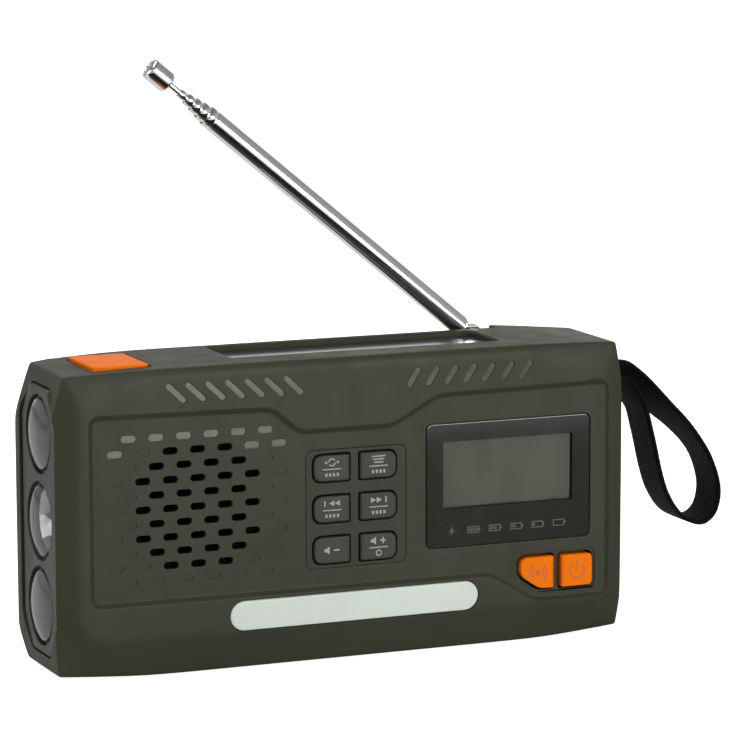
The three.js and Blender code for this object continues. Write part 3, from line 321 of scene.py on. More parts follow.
def opening(outline, axis, surface, floor, mouth=0.3, foot=0.0, steps=3):
    """A cutting tool for a recess: its mouth is rounded over by mouth and its floor corner by foot."""
    inward = 1 if floor > surface else -1
    levels = [(surface - inward * 3, mouth)]
    levels += [(surface + inward * mouth * (1 - cos), mouth * (1 - sin)) for cos, sin in quarter_turn(steps)]
    if foot:
        levels += [(floor - inward * foot * (1 - sin), -foot * (1 - cos)) for cos, sin in quarter_turn(steps)]
    else:
        levels.append((floor, 0))
    return prism(outline, levels, axis)


def pillow(outline, axis, base, face, round_off, depth, steps=5):
    """A raised button: straight sides and a rim rounded inwards by round_off over the given depth."""
    outward = 1 if face > base else -1
    rim = [(face - outward * depth * (1 - sin), -round_off * (1 - cos)) for cos, sin in quarter_turn(steps)]
    return prism(outline, [(base, 0)] + rim, axis)


def merged(*solids):
    """Several solids that don't touch, as one bmesh."""
    result = bmesh.new()
    for bm in solids:
        mesh = bpy.data.meshes.new("part")
        bm.to_mesh(mesh)
        bm.free()
        result.from_mesh(mesh)
        bpy.data.meshes.remove(mesh)
    return result


# ------------------------------------------------------------------ objects

def mesh_object(name, bm):
    mesh = bpy.data.meshes.new(name)
    bm.to_mesh(mesh)
    bm.free()
    obj = bpy.data.objects.new(name, mesh)
    bpy.context.scene.collection.objects.link(obj)
    return obj


def solid_of(obj):
    """The object's mesh as a bmesh; the object is removed."""
    bm = bmesh.new()
    bm.from_mesh(obj.data)
    bpy.data.objects.remove(obj)
    return bm


def carve(obj, *tools, operation="DIFFERENCE"):
    """Cuts, joins or intersects the object with each tool in turn."""
    for tool in tools:
        other = mesh_object("tool", tool)
        step = obj.modifiers.new("carve", "BOOLEAN")
        step.solver = "MANIFOLD"
        step.operation = operation
        step.object = other
        graph = bpy.context.evaluated_depsgraph_get()
        mesh = bpy.data.meshes.new_from_object(obj.evaluated_get(graph))
        obj.modifiers.clear()
        obj.data = mesh
        bpy.data.objects.remove(other)
    obj.data.materials.clear()
    return obj


def carved(solid, *tools, operation="DIFFERENCE"):
    """The same on a bmesh, for building tools."""
    return solid_of(carve(mesh_object("blank", solid), *tools, operation=operation))


def finish(obj, body, slot, looks, *replaces, sharp=32):
    """Scales a piece to metres, shades it smooth between its sharp edges and rides it on its body."""
    mesh = obj.data
    mesh.transform(Matrix.Scale(MM, 4))
    for look in looks.split():
        mesh.materials.append(LOOK[look])
    mesh.polygons.foreach_set("use_smooth", [True] * len(mesh.polygons))
    mesh.set_sharp_from_angle(angle=math.radians(sharp))
    step = obj.modifiers.new("normals", "WEIGHTED_NORMAL")
    step.keep_sharp = True
    step.weight = 60
    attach(obj, body)
    if replaces:
        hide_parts(*replaces)
    return obj


def piece(name, bm, body, slot, looks, *replaces, sharp=32):
    return finish(mesh_object(name, bm), body, slot, looks, *replaces, sharp=sharp)


# ------------------------------------------------------------------ materials

INPUTS = {
    "base": "Base Color", "metallic": "Metallic", "roughness": "Roughness", "ior": "IOR",
    "coat": "Coat Weight", "coat_roughness": "Coat Roughness", "sheen": "Sheen Weight",
    "specular": "Specular IOR Level",
}


class Shader:
    """A small helper that adds nodes to one material and wires them together."""

    def __init__(self, name):
        self.material = bpy.data.materials.new(name)
        self.material.use_nodes = True
        self.tree = self.material.node_tree
        self.tree.nodes.clear()
        self.output = self.add("OutputMaterial")
        self.surface = self.add("BsdfPrincipled")
        self.feed(self.surface.outputs[0], self.output.inputs[0])
        self.place = self.add("TexCoord").outputs["Object"]

    def add(self, kind, **settings):
        node = self.tree.nodes.new("ShaderNode" + kind)
        for key, value in settings.items():
            setattr(node, key, value)
        return node

    def feed(self, value, socket):
        """Links another node's output, or sets a colour or a number."""
        if hasattr(value, "is_output"):
            self.tree.links.new(value, socket)
        else:
            socket.default_value = (*value, 1) if isinstance(value, tuple) else value

    def set(self, **values):
        for key, value in values.items():
            self.feed(value, self.surface.inputs[INPUTS[key]])

    def maths(self, operation, *values):
        node = self.add("Math", operation=operation)
        for value, socket in zip(values, node.inputs):
            self.feed(value, socket)
        return node.outputs[0]

    def times(self, first, second):
        return self.maths("MULTIPLY", first, second)

    def plus(self, first, second):
        return self.maths("ADD", first, second)

    def axes(self, vector, unit=1.0):
        """The three parts of a vector, each divided by the unit."""
        split = self.add("SeparateXYZ")
        self.feed(vector, split.inputs[0])
        return [self.maths("DIVIDE", part, unit) for part in split.outputs]

    def noise(self, per_mm, detail=2.0, stretch=(1, 1, 1), distortion=0.0):
        """Noise of about the given number of features to the millimetre, stretched along the axes."""
        mapping = self.add("Mapping")
        mapping.inputs["Scale"].default_value = [s * per_mm / MM for s in stretch]
        self.feed(self.place, mapping.inputs["Vector"])
        node = self.add("TexNoise")
        for key, value in (("Scale", 1.0), ("Detail", detail), ("Distortion", distortion)):
            node.inputs[key].default_value = value
        self.feed(mapping.outputs[0], node.inputs["Vector"])
        return node.outputs["Fac"]

    def spread(self, value, low, high, in_low=0.3, in_high=0.7):
        """The value mapped from its own range to low and high, and held inside them."""
        node = self.add("MapRange")
        self.feed(value, node.inputs["Value"])
        for key, number in (("From Min", in_low), ("From Max", in_high), ("To Min", low), ("To Max", high)):
            self.feed(number, node.inputs[key])
        return node.outputs["Result"]

    def blend(self, share, first, second):
        node = self.add("Mix", data_type="RGBA")
        for value, place in ((share, 0), (first, 6), (second, 7)):
            self.feed(value, node.inputs[place])
        return node.outputs[2]

    def mixed(self, share, first, second):
        """Puts a mix of two shaders on the material's output."""
        both = self.add("MixShader")
        for value, socket in zip((share, first, second), both.inputs):
            self.feed(value, socket)
        self.feed(both.outputs[0], self.output.inputs[0])
        return both.outputs[0]

    def edges(self, width_mm):
        """1 along convex and concave edges, 0 on flat ground, from a bevelled normal."""
        bevel = self.add("Bevel", samples=4)
        bevel.inputs["Radius"].default_value = width_mm * MM
        match = self.add("VectorMath", operation="DOT_PRODUCT")
        self.feed(bevel.outputs[0], match.inputs[0])
        self.feed(self.add("NewGeometry").outputs["Normal"], match.inputs[1])
        return self.spread(match.outputs["Value"], 1.0, 0.0, 0.8, 0.985)

    def bump(self, height, depth_mm, strength=1.0):
        node = self.add("Bump")
        node.inputs["Strength"].default_value = strength
        node.inputs["Distance"].default_value = depth_mm * MM
        self.feed(height, node.inputs["Height"])
        self.feed(node.outputs[0], self.surface.inputs["Normal"])


def scaled(colour, factor):
    return tuple(min(1.0, c * factor) for c in colour)


def moulded(name, colour, roughness=0.5, grain_mm=0.012, grain_per_mm=2.2, edge_wear_and_highlight=1.3, specular=0.3):
    """Injection-moulded plastic: spark-eroded grain, faint flow mottling, and edges lightened partly as
    rubbing wear and partly as a painted highlight.
    """
    shader = Shader(name)
    mottle = shader.spread(shader.noise(0.03, 3.0), 0.0, 1.0)
    speck = shader.spread(shader.noise(1.6, 2.0), 0.0, 1.0, 0.35, 0.65)
    base = shader.blend(mottle, scaled(colour, 0.93), scaled(colour, 1.07))
    base = shader.blend(shader.times(speck, 0.35), base, scaled(colour, 1.12))
    # Edges are lightened in patches: partly rubbing wear, partly a painted highlight along the creases.
    rub = shader.noise(0.12, 4.0, (1, 1, 0.35), 0.6)
    worn_and_highlit_edges = shader.times(shader.edges(0.5), shader.spread(rub, 0.25, 1.0))
    level = shader.spread(rub, roughness - 0.05, roughness + 0.07)
    shader.set(base=shader.blend(worn_and_highlit_edges, base, scaled(colour, edge_wear_and_highlight)), specular=specular)
    shader.set(roughness=shader.maths("SUBTRACT", level, shader.times(worn_and_highlit_edges, 0.08)))
    shader.bump(shader.noise(grain_per_mm, 3.0), grain_mm)
    return shader.material


def plated(name, colour, roughness, streak=(1, 1, 1)):
    """Bright plating with fine polishing lines along one axis and a trace of handling haze."""
    shader = Shader(name)
    lines = shader.noise(9.0, 2.0, streak)
    haze = shader.noise(0.15, 3.0)
    shader.set(base=shader.blend(shader.spread(haze, 0, 1), colour, scaled(colour, 0.93)), metallic=1.0)
    shader.set(roughness=shader.plus(
        shader.spread(lines, 0.0, 0.05), shader.spread(haze, roughness, roughness + 0.05),
    ))
    shader.bump(lines, 0.0012)
    return shader.material


def webbing():
    """Woven nylon: herringbone ribs along the strap from its UV map, in millimetres, with painted shade in
    the hollows of the weave.
    """
    shader = Shader("webbing")
    along, across, _ = shader.axes(shader.add("UVMap").outputs[0])
    zigzag = shader.maths("PINGPONG", across, 1.2)
    twill = shader.maths("SINE", shader.times(shader.plus(along, zigzag), 2 * math.pi / 0.9))
    yarns = shader.maths("SINE", shader.times(across, 2 * math.pi / 0.6))
    cloth = shader.plus(shader.times(twill, 0.6), shader.times(yarns, 0.4))
    fuzz = shader.noise(4.0, 3.0)
    height = shader.plus(cloth, shader.times(fuzz, 0.5))
    # Painted shade: the colour follows the relief, darker in the hollows of the weave and lighter on the
    # raised yarns.
    lift = shader.spread(height, 0.0, 1.0, -0.8, 1.2)
    shader.set(base=shader.blend(lift, (0.0008, 0.0008, 0.0006), (0.0032, 0.0030, 0.0025)))
    shader.set(roughness=shader.spread(fuzz, 0.62, 0.85), sheen=0.0, specular=0.15)
    shader.bump(height, 0.06, 0.9)
    return shader.material


def see_through(name, tint, roughness, clarity, haze_colour, reflective=1.49):
    """Clear or frosted plastic: light passes straight through by the clarity share, with a glossy face."""
    shader = Shader(name)
    haze = shader.noise(0.4, 3.0)
    shader.set(base=shader.blend(shader.spread(haze, 0, 1), haze_colour, scaled(haze_colour, 0.9)))
    shader.set(roughness=shader.spread(haze, roughness, roughness + 0.06), ior=1.49)
    clear = shader.add("BsdfTransparent")
    shader.feed(tint, clear.inputs[0])
    gloss = shader.add("BsdfGlossy")
    shader.feed(roughness, gloss.inputs["Roughness"])
    fresnel = shader.add("Fresnel")
    shader.feed(reflective, fresnel.inputs["IOR"])
    outside = shader.maths("SUBTRACT", 1.0, shader.add("NewGeometry").outputs["Backfacing"])
    pane = shader.mixed(shader.times(fresnel.outputs[0], outside), clear.outputs[0], gloss.outputs[0])
    shader.mixed(1 - clarity, pane, shader.surface.outputs[0])
    return shader.material


def glossy_sheet(name, colour, roughness, haze, specular):
    """Polished dark sheet with faint smears."""
    shader = Shader(name)
    smear = shader.noise(0.08, 3.0, (1, 1, 0.3), 0.8)
    shader.set(base=shader.blend(shader.spread(smear, 0, 1), colour, scaled(colour, 1.25)))
    shader.set(roughness=shader.spread(smear, roughness, roughness + haze), specular=specular)
    return shader.material


def painted_floor_highlight():
    """Painted highlight for the floors of the shallow pockets and grooves: a pale colour standing for the
    light they catch, fading towards the strap end.
    """
    shader = Shader("painted_highlight_on_floors")
    fade = shader.spread(shader.axes(shader.place, MM)[0], 0.0, 1.0, -50.0, 55.0)
    patchy = shader.plus(fade, shader.spread(shader.noise(0.4, 3.0), -0.15, 0.15))
    shader.set(base=shader.blend(patchy, (0.175, 0.175, 0.135), (0.062, 0.062, 0.043)))
    shader.set(roughness=shader.spread(shader.noise(0.8, 2.0), 0.5, 0.65), specular=0.3)
    shader.bump(shader.noise(2.2, 3.0), 0.012)
    return shader.material


def solar_face():
    """Dark cells behind clear resin, with thin silver collector lines and the gaps between cells."""
    shader = Shader("solar_cells")
    x0, x1, y0, _, _, _ = node_box("solar_panel")
    across, along, _ = shader.axes(shader.place, MM)
    cell_length, cell_gap, finger_pitch, bar_pitch = (x1 - x0) / 8, 0.28, 0.9, 4.8

    def stripes(place, half_pitch, half_width):
        return shader.maths("LESS_THAN", shader.maths("PINGPONG", place, half_pitch), half_width)

    fingers = shader.times(stripes(across, finger_pitch, 0.07), 0.35)
    gaps = stripes(shader.maths("SUBTRACT", across, x0), cell_length / 2, cell_gap)
    bars = shader.times(stripes(shader.maths("SUBTRACT", along, y0), bar_pitch, 0.25), 0.7)
    crystal = shader.spread(shader.noise(0.35, 4.0), 0.0, 1.0)
    cells = shader.blend(crystal, (0.006, 0.007, 0.014), (0.014, 0.017, 0.032))
    silvered = shader.blend(shader.maths("MAXIMUM", fingers, bars), cells, (0.30, 0.31, 0.33))
    shader.set(base=shader.blend(gaps, silvered, (0.004, 0.004, 0.005)))
    shader.set(roughness=0.30, coat=0.55, coat_roughness=0.12)
    shader.bump(shader.noise(0.3, 2.0), 0.004)
    return shader.material


def board(name, axis=None, beyond=0.0):
    """Green solder mask over woven glass laminate; what lies below a place on one axis is a pale lamp."""
    shader = Shader(name)
    weave = shader.times(shader.noise(1.5, 1.0, (1, 1, 8)), shader.noise(1.5, 1.0, (8, 1, 1)))
    mask = shader.blend(shader.spread(weave, 0, 1, 0.1, 0.4), (0.012, 0.10, 0.04), (0.02, 0.15, 0.06))
    if axis is not None:
        lamp = shader.maths("LESS_THAN", shader.axes(shader.place, MM)[axis], beyond)
        mask = shader.blend(lamp, mask, (0.85, 0.78, 0.42))
    shader.set(base=mask, roughness=0.35, coat=0.4)
    shader.bump(weave, 0.02)
    return shader.material


def wrapped(name, colour):
    """Printed shrink sleeve with soft wrinkles."""
    shader = Shader(name)
    wrinkle = shader.noise(0.25, 3.0, (0.4, 1, 1), 1.0)
    shader.set(base=shader.blend(shader.spread(wrinkle, 0, 1), colour, scaled(colour, 0.8)))
    shader.set(roughness=shader.spread(wrinkle, 0.22, 0.38), coat=0.3)
    shader.bump(wrinkle, 0.05)
    return shader.material


LOOK = {
    "shell": moulded("olive_plastic", (0.0345, 0.036, 0.0195), specular=0.22),
    # painted highlight on the floors of the grooves and pockets
    "inlay": painted_floor_highlight(),
    "bezel": moulded("grey_plastic", (0.038, 0.040, 0.031), 0.45),
    "dark": moulded("dark_plastic", (0.018, 0.019, 0.016), 0.45),
    "key": moulded("key_plastic", (0.038, 0.039, 0.026), 0.5, 0.008),
    "ink": moulded("key_ink", (0.33, 0.335, 0.32), 0.6, 0.004),
    "orange": moulded("orange_plastic", (0.83, 0.172, 0.003), 0.42, 0.006, 1.1, specular=0.03),
    "orange_ink": moulded("orange_ink", (0.47, 0.13, 0.03), 0.6, 0.004),
    "diffuser": moulded("milky_diffuser", (0.61, 0.675, 0.615), 0.4, 0.004, 1.05),
    "gear": moulded("white_acetal", (0.62, 0.60, 0.52), 0.4, 0.006),
    "rubber": moulded("soft_rubber", (0.03, 0.031, 0.024), 0.75, 0.02),
    "faint": moulded("faint_print", (0.095, 0.095, 0.09), 0.5, 0.002),
    # painted shade: near-black dots stand for the dark inside of the pin holes
    "pin_hole": moulded("pin_hole", (0.004, 0.004, 0.004), 0.5, 0.002),
    "thread": moulded("sewing_thread", (0.012, 0.012, 0.012), 0.7, 0.03, 5.0),
    # The cone's own dark paper, darkened further as painted shade so the open speaker slots read black.
    "shaded_cone": moulded("cone_paper_and_painted_shade", (0.004, 0.004, 0.004), 0.85, 0.06, 3.0, specular=0.05),
    "clear": see_through("clear_lens", (0.93, 0.94, 0.93), 0.05, 0.90, (0.22, 0.23, 0.22)),
    "tinted": see_through("tinted_lens", (0.80, 0.81, 0.79), 0.09, 0.30, (0.105, 0.113, 0.10)),
    "pane": see_through("window_pane", (0.85, 0.85, 0.83), 0.04, 1.0, (0.2, 0.2, 0.2), 1.38),
    "print": glossy_sheet("window_print", (0.023, 0.0235, 0.020), 0.09, 0.03, 0.9),
    # The display's grey is partly its own and partly painted light, lightened to make up for the shade it
    # sits in behind the pane.
    "lcd": glossy_sheet("lcd_face_with_painted_light", (0.168, 0.164, 0.148), 0.35, 0.1, 0.1),
    "solar": solar_face(),
    "chrome": plated("bright_plating", (0.82, 0.82, 0.81), 0.06, (0.02, 1, 1)),
    "mirror": plated("metallised_reflector", (0.93, 0.93, 0.92), 0.05),
    "faceted": plated("pressed_reflector", (0.52, 0.53, 0.52), 0.12),
    "steel": plated("zinc_plated_steel", (0.50, 0.50, 0.49), 0.28, (1, 0.05, 1)),
    "brass": plated("turned_brass", (0.70, 0.50, 0.20), 0.22, (1, 0.1, 1)),
    "board": board("circuit_board"),
    "led_strip": board("lamp_strip", 1, -16.1),
    "torch_board": board("torch_board", 0, -71.1),
    "cell_blue": wrapped("blue_sleeve", (0.05, 0.13, 0.32)),
    "cell_green": wrapped("green_sleeve", (0.06, 0.26, 0.10)),
    "webbing": webbing(),
}


# ------------------------------------------------------------------ casing

def body_points():
    """Corner points of the faceted moulding; the torch end stands out a little further than the strap end."""
    front, rear, top = FRONT_Y, REAR_Y, BODY_TOP
    points = []
    for side, end in ((1, STRAP_END), (-1, TORCH_END)):
        half, edge = end["half"], end["edge"]
        points += [(side * x, y, z) for x, y, z in (
            (79.8, front, 15), (79.8, front, 72.5), (79.3, front, 77.3), (56, front, 84.2),
            (76.5, front, 10.2), (60, -19.6, top), (83.3, -18.7, 85.2), (83.3, 12, 85.1),
            (60, 18.9, top + TOP_REAR_RISE),
            (half, edge, 10.5), (half, edge, 74.5), (half, 12.5, 74.8), (half, 17, 70), (half, 17, 9),
            (80.5, rear, 14), (80.5, rear, 70), (56, rear, 83), (72, rear, 7.5),
            (62, -18, 0), (62, 12, 0), (84.9, -16.4, 1.5), (84.9, 12, 1.1),
        )]
    return points


def panel_tool():
    """The sunken control panel, whose wall is one soft slope."""
    corners = [
        (-76, 21.2), (43.4, 20.6), (57, 12), (80, 12), (80, 74),
        (26.9, 73.2), (12.9, 65.6), (-15.2, 65.6), (-23.4, 72.6), (-76, 73.4),
    ]
    depth = PANEL_Y - FRONT_Y
    levels = [(FRONT_Y - 3, 1.0)]
    for step in range(11):
        share = step / 10
        levels.append((FRONT_Y + depth * (1 - math.cos(math.pi * share)) / 2, 1.0 - 1.9 * share))
    return prism(rounded(corners, 2.5), levels, "y")


def slot_tools():
    """Speaker slots: those in a circle go through, the others are shallow pockets."""
    through, blind = [], []
    middle = (SLOT_ROWS - 1) // 2
    for row in range(SLOT_ROWS):
        odd = row % 2
        for column in range(-odd, SLOT_ROWS + odd, 2):
            across, up = column - middle, middle - row
            is_open = math.hypot(across, up) < SLOT_OPEN_RADIUS and abs(up) < middle
            x, z = SPEAKER_X + across * SLOT_PITCH, SPEAKER_Z + up * SLOT_PITCH
            floor = CUT_Y if is_open else PANEL_Y + SLOT_BLIND_DEPTH
            slot = opening(stadium(x, z, SLOT_LENGTH, SLOT_WIDTH), "y", PANEL_Y, floor, 0.12, steps=2)
            (through if is_open else blind).append(slot)
    return merged(*through), merged(*blind)


def slash_tools():
    """Two rows of seven slanted grooves above the panel."""
    tools = []
    low, high = SLASH_Z
    for first_x, lean in SLASH_ROWS:
        length = math.hypot(lean, high - low) + 0.7
        turn = math.atan2(low - high, lean)
        for index in range(SLASH_COUNT):
            x = first_x + SLASH_PITCH * index + abs(lean) / 2
            outline = stadium(x, (low + high) / 2, length, SLASH_WIDTH, turn, 5)
            tools.append(opening(outline, "y", FRONT_Y, FRONT_Y + SLASH_DEPTH, 0.15, 0.1, 2))
    return merged(*tools)


def key_radii(name, outer, inner):
    """Corner radii of a grey key: large on the outer side of its column."""
    return [outer, inner, inner, outer] if name in LEFT_KEYS else [inner, outer, outer, inner]


def key_hole(name):
    """Outline of the hole around a key in (x, z), from its node's box grown by the key gap."""
    if name == "sos_button":
        x0, x1, z0, z1 = node_face(name, "y")
        x0, x1, z0, z1 = x0 - KEY_GAP, x1 + KEY_GAP, z0 - KEY_GAP, z1 + KEY_GAP
        cut_x, cut_z = x0 + SOS_CUT[0], z0 + SOS_CUT[1]
        return rounded([(cut_x, z0), (x1, z0), (x1, z1), (x0, z1), (x0, cut_z)], [1.8, 1.3, 1.3, 3.2, 2.2])
    radii = [1.2, 2.4, 2.4, 1.2] if name == "power_button" else key_radii(name, 3, 0.8)
    return node_outline(name, "y", radii, KEY_GAP)


def bezel_outline(grow):
    y0, y1, z0, z1 = node_face("torch_bezel", "x")
    corners = [
        (y0 + 7, z0), (y1 - 7, z0), (y1, z0 + 9), (y1, z1 - 9),
        (y1 - 7, z1), (y0 + 7, z1), (y0, z1 - 9), (y0, z0 + 9),
    ]
    return grown(rounded(corners, 1.2, 3), grow)


def bezel_hole():
    return opening(bezel_outline(0.5), "x", -TORCH_END["half"], -79, 0.4)


def ledge_tool():
    """The step along the rear top edge that the folded antenna lies in, with a softened floor corner."""
    far_y, far_z = REAR_Y + 9, BODY_TOP + 9
    corners = [(LEDGE_Y, LEDGE_Z), (far_y, LEDGE_Z), (far_y, far_z), (LEDGE_Y, far_z)]
    return prism(rounded(corners, [0.9, 0.1, 0.1, 0.1], 4), [(x, 0) for x in LEDGE_X], "x")


def cavity_tool():
    """The hollow inside, less the walls kept round the recesses."""
    middle = BODY_TOP / 2
    sx, sy, sz = CAVITY_SCALE
    hollow = convex([(x * sx, y * sy, middle + (z - middle) * sz) for x, y, z in body_points()])
    x0, x1, y0, _, z0, _ = node_box("solar_panel")
    around, (left, right) = LEDGE_WALL, LEDGE_X
    return carved(
        hollow,
        block(x0 - SOLAR_WALL, x1 + SOLAR_WALL, y0 - SOLAR_WALL, BEYOND, z0 - SOLAR_WALL, BEYOND),
        block(left - around, right + around, LEDGE_Y - around, BEYOND, LEDGE_Z - around, BEYOND),
        block(*STRAP_POCKET_ROOM),
    )


def half_region(front):
    """The space of one casing half; the front half reaches further back around the torch key."""
    (left, right), y, z = SEAM_JOG["x"], SEAM_JOG["y"], SEAM_JOG["z"]
    if front:
        region = block(-BEYOND, BEYOND, -BEYOND, SEAM_Y - GAP / 2, -BEYOND, BEYOND)
        return carved(region, block(left, right, 0, y - GAP, z, BEYOND), operation="UNION")
    region = block(-BEYOND, BEYOND, SEAM_Y + GAP / 2, BEYOND, -BEYOND, BEYOND)
    return carved(region, block(left - GAP, right + GAP, 0, y, z - GAP, BEYOND))


def hollow_half(name, front):
    """One half of the moulding, before its openings are cut."""
    shell = mesh_object(name, soft_convex(body_points(), EDGE_SOFTNESS))
    carve(shell, half_region(front), operation="INTERSECT")
    return carve(shell, cavity_tool())


def front_casing():
    shell = hollow_half("front_casing", True)
    posts = [rod("y", place, POST_RADIUS, -18.2, SEAM_Y - GAP / 2, 24) for place in screw_places()]
    carve(shell, merged(*posts), operation="UNION")
    field = rectangle(*KEY_FIELD, 2)
    field_y, orange_y = PANEL_Y + FIELD_DEPTH, PANEL_Y + ORANGE_SEAT_DEPTH
    orange_seat = rounded(
        [(58, 13.9), (75.5, 13.9), (76.3, 14.8), (76.3, 25.8), (51.1, 25.8), (51.1, 18.6)],
        [1.2, 0.6, 2.0, 2.0, 2.4, 1.4],
    )
    window = node_outline("display_window", "y", 2.3, GAP)
    x0, x1, z0, z1 = LCD_FACE
    a0, a1, b0, b1 = node_face("lamp_diffuser", "y")
    bar_hole = stadium((a0 + a1) / 2, (b0 + b1) / 2, a1 - a0 + 0.4, b1 - b0 + 0.4, steps=12)
    solar_z = node_box("solar_panel")[4] - GAP
    carve(
        shell, panel_tool(), *slot_tools(), slash_tools(),
        opening(field, "y", PANEL_Y, field_y, 0.5, steps=4),
        *[opening(key_hole(name), "y", field_y, CUT_Y, 0.2) for name in LEFT_KEYS + RIGHT_KEYS],
        opening(orange_seat, "y", PANEL_Y, orange_y, 0.15, steps=2),
        *[opening(key_hole(name), "y", orange_y, CUT_Y, 0.1, steps=2) for name in ORANGE_KEYS],
        opening(window, "y", PANEL_Y, PANEL_Y + WINDOW_SEAT_DEPTH, 0.2, steps=2),
        block(x0 - 0.4, x1 + 0.4, -BEYOND, CUT_Y, z0 - 0.4, z1 + 0.4),
        opening(bar_hole, "y", FRONT_Y, CUT_Y, 0.25),
        opening(node_outline("solar_panel", "z", 0.8, GAP), "z", BODY_TOP + 0.3, solar_z, 0.7),
        opening(node_outline("torch_button", "z", 1.4, GAP), "z", BODY_TOP - 0.5, 78, 0.5),
        bezel_hole(), strap_pocket_tool(), *port_tools(), ledge_tool(),
    )
    # The second material, a painted highlight, goes on the groove and slot floors.
    for polygon in shell.data.polygons:
        polygon.material_index = int(gets_painted_highlight(polygon.center, polygon.normal))
    finish(shell, "root", "olive_shell", "shell inlay", "front_shell")


def gets_painted_highlight(centre, normal):
    """True on the faces that take the painted highlight: the floors of the slanted grooves, the top row of
    blind slots and the outer ones below it.
    """
    across, up = (centre.x - SPEAKER_X) / SLOT_PITCH, (centre.z - SPEAKER_Z) / SLOT_PITCH
    on_groove = abs(centre.y - FRONT_Y - SLASH_DEPTH) < 0.01 and centre.z > SLASH_Z[0] - 1
    on_slot = abs(centre.y - PANEL_Y - SLOT_BLIND_DEPTH) < 0.01 and centre.x < -15
    highlit_row = up > 4.5 or (up > 3.5 and (across < -4 or across > 2))
    return normal.y < -0.9999 and (on_groove or (on_slot and highlit_row))


def screw_places():
    return [node_middle(f"case_screw_{index}", "y") for index in range(1, 5)]


def strap_pocket_tool():
    pocket = opening(rectangle(*STRAP_POCKET, 1.2), "x", STRAP_END["half"] - 1.2, 79.5, 0.6)
    return carved(pocket, rod("y", (STRAP_BAR_X, STRAP_BAR_Z), STRAP_BAR_RADIUS, -20, 20, 32))


def port_tools():
    seat = opening(node_outline("port_flap", "x", 0.6, GAP), "x", STRAP_END["half"], PORT_SEAT_X, 0.3)
    usb = opening(node_outline("usb_port", "x", 0.5, GAP), "x", PORT_SEAT_X, SOCKET_SEAT_X, 0.2)
    jack = stadium(*node_middle("headphone_jack", "x"), JACK_HOLE + 0.0001, JACK_HOLE, steps=16)
    return seat, usb, opening(jack, "x", PORT_SEAT_X, SOCKET_SEAT_X, 0.2)


def rear_casing():
    shell = hollow_half("rear_casing", False)
    centre = (DISH_X, DISH_Z)
    dish_back = rod("y", centre, DISH_RADIUS + DISH_WALL, DISH_FLOOR - DISH_WALL, 18.2, 96)
    sleeves = [rod("y", place, SLEEVE_RADIUS, SEAM_Y + GAP / 2, 18.5, 24) for place in screw_places()]
    carve(shell, dish_back, *sleeves, operation="UNION")
    dish = circle(*centre, DISH_RADIUS, 96)
    carve(shell, opening(dish, "y", REAR_Y, DISH_FLOOR, 0.9, 1.5, 4), rod("y", centre, 3.4, 0, 40, 32))
    for place in screw_places():
        seat = circle(*place, SCREW_SEAT_RADIUS, 32)
        carve(shell, opening(seat, "y", REAR_Y, SCREW_SEAT_Y, 0.3, steps=2), rod("y", place, 1.5, 0, 40, 20))
    x0, x1, z0, z1 = node_face("battery_door", "y")
    bay = rectangle(x0 - GAP, x1 + GAP, z0 - 0.35, z1 + GAP, 0.5)
    post = (MAST_PIVOT.x, MAST_PIVOT.y)
    carve(
        shell,
        opening(bay, "y", REAR_Y, 0, 0.4),
        bezel_hole(),
        ledge_tool(),
        rod("z", post, 4.25, LEDGE_Z, BEYOND, 40),
        rod("z", post, 2.1, 70, BEYOND, 32),
        rod("z", post, 2.9, 66, LEDGE_Z - 2, 32),
    )
    finish(shell, "root", "olive_shell", "shell", "rear_shell")


# ------------------------------------------------------------------ torch end

FACET_ROWS, FACET_COLUMNS, FACET_JITTER, FACET_SEED = 5, 16, 0.3, 11
BOWL_MOUTH, BOWL_SHRINK, BOWL_TOP, BOWL_DEPTH = 9.0, 6.6, -2.8, 8.8


def torch_bezel():
    x0, x1 = node_box("torch_bezel")[0] - BEZEL_RISE, node_box("torch_bezel")[1]
    plate = prism(bezel_outline(0), [(x1, 0), (x0 + 0.5, 0), (x0 + 0.15, -0.15), (x0, -0.5)], "x")
    bezel = mesh_object("torch_bezel_plate", plate)
    for lamp in LAMPS:
        y0, y1, _, _ = node_face(f"torch_lens_{lamp}", "x")
        centre, radius = node_middle(f"torch_lens_{lamp}", "x"), (y1 - y0) / 2 + GAP
        ring = opening(circle(*centre, radius + 1.0), "x", x0, x0 + 1.5, 0.25)
        carve(bezel, ring, rod("x", centre, radius, x0 - 5, x1 + 5, 64))
    finish(bezel, "root", "grey_bezel", "bezel", "torch_bezel")


def lamp_matrix(lamp):
    """Frame of one lamp: local X points out of the torch end from the bezel's face."""
    face = node_box("torch_bezel")[0] - BEZEL_RISE
    return axis_matrix((face, *node_middle(f"torch_lens_{lamp}", "x")), (-1, 0, 0))


def torch_lens(lamp, look):
    y0, y1, _, _ = node_face(f"torch_lens_{lamp}", "x")
    radius = (y1 - y0) / 2
    profile = [(0, -1.8), (radius, -1.8), (radius, -0.35)]
    for step in range(10, -1, -1):
        share = step / 10
        profile.append((radius * 0.985 * share, -0.2 + 1.6 * (1 - share ** 2.6)))
    lens = lathe(profile, 64, lamp_matrix(lamp))
    piece(f"torch_lens_glass_{lamp}", lens, "root", "clear_lens", look, f"torch_lens_{lamp}", sharp=40)


def bowl_profile(steps, power):
    """Closed profile of a reflector: the bowl, then the back of its wall."""
    bowl = [(BOWL_MOUTH - BOWL_SHRINK * n / steps, BOWL_TOP - BOWL_DEPTH * (n / steps) ** power)
            for n in range(steps + 1)]
    return [(9.7, BOWL_TOP)] + bowl + [(2.4, -12.6), (3.6, -12.6), (8, -7.6), (9.7, -4.2)]


def reflector(lamp, bm, look, sharp):
    node = f"torch_reflector_{lamp}"
    piece(f"torch_reflector_bowl_{lamp}", bm, "root", "reflector", look, node, sharp=sharp)


def smooth_reflector(lamp):
    """A metallised bowl that is turned smooth."""
    reflector(lamp, lathe(bowl_profile(16, 1.6), 64, lamp_matrix(lamp), closed=True), "mirror", 40)


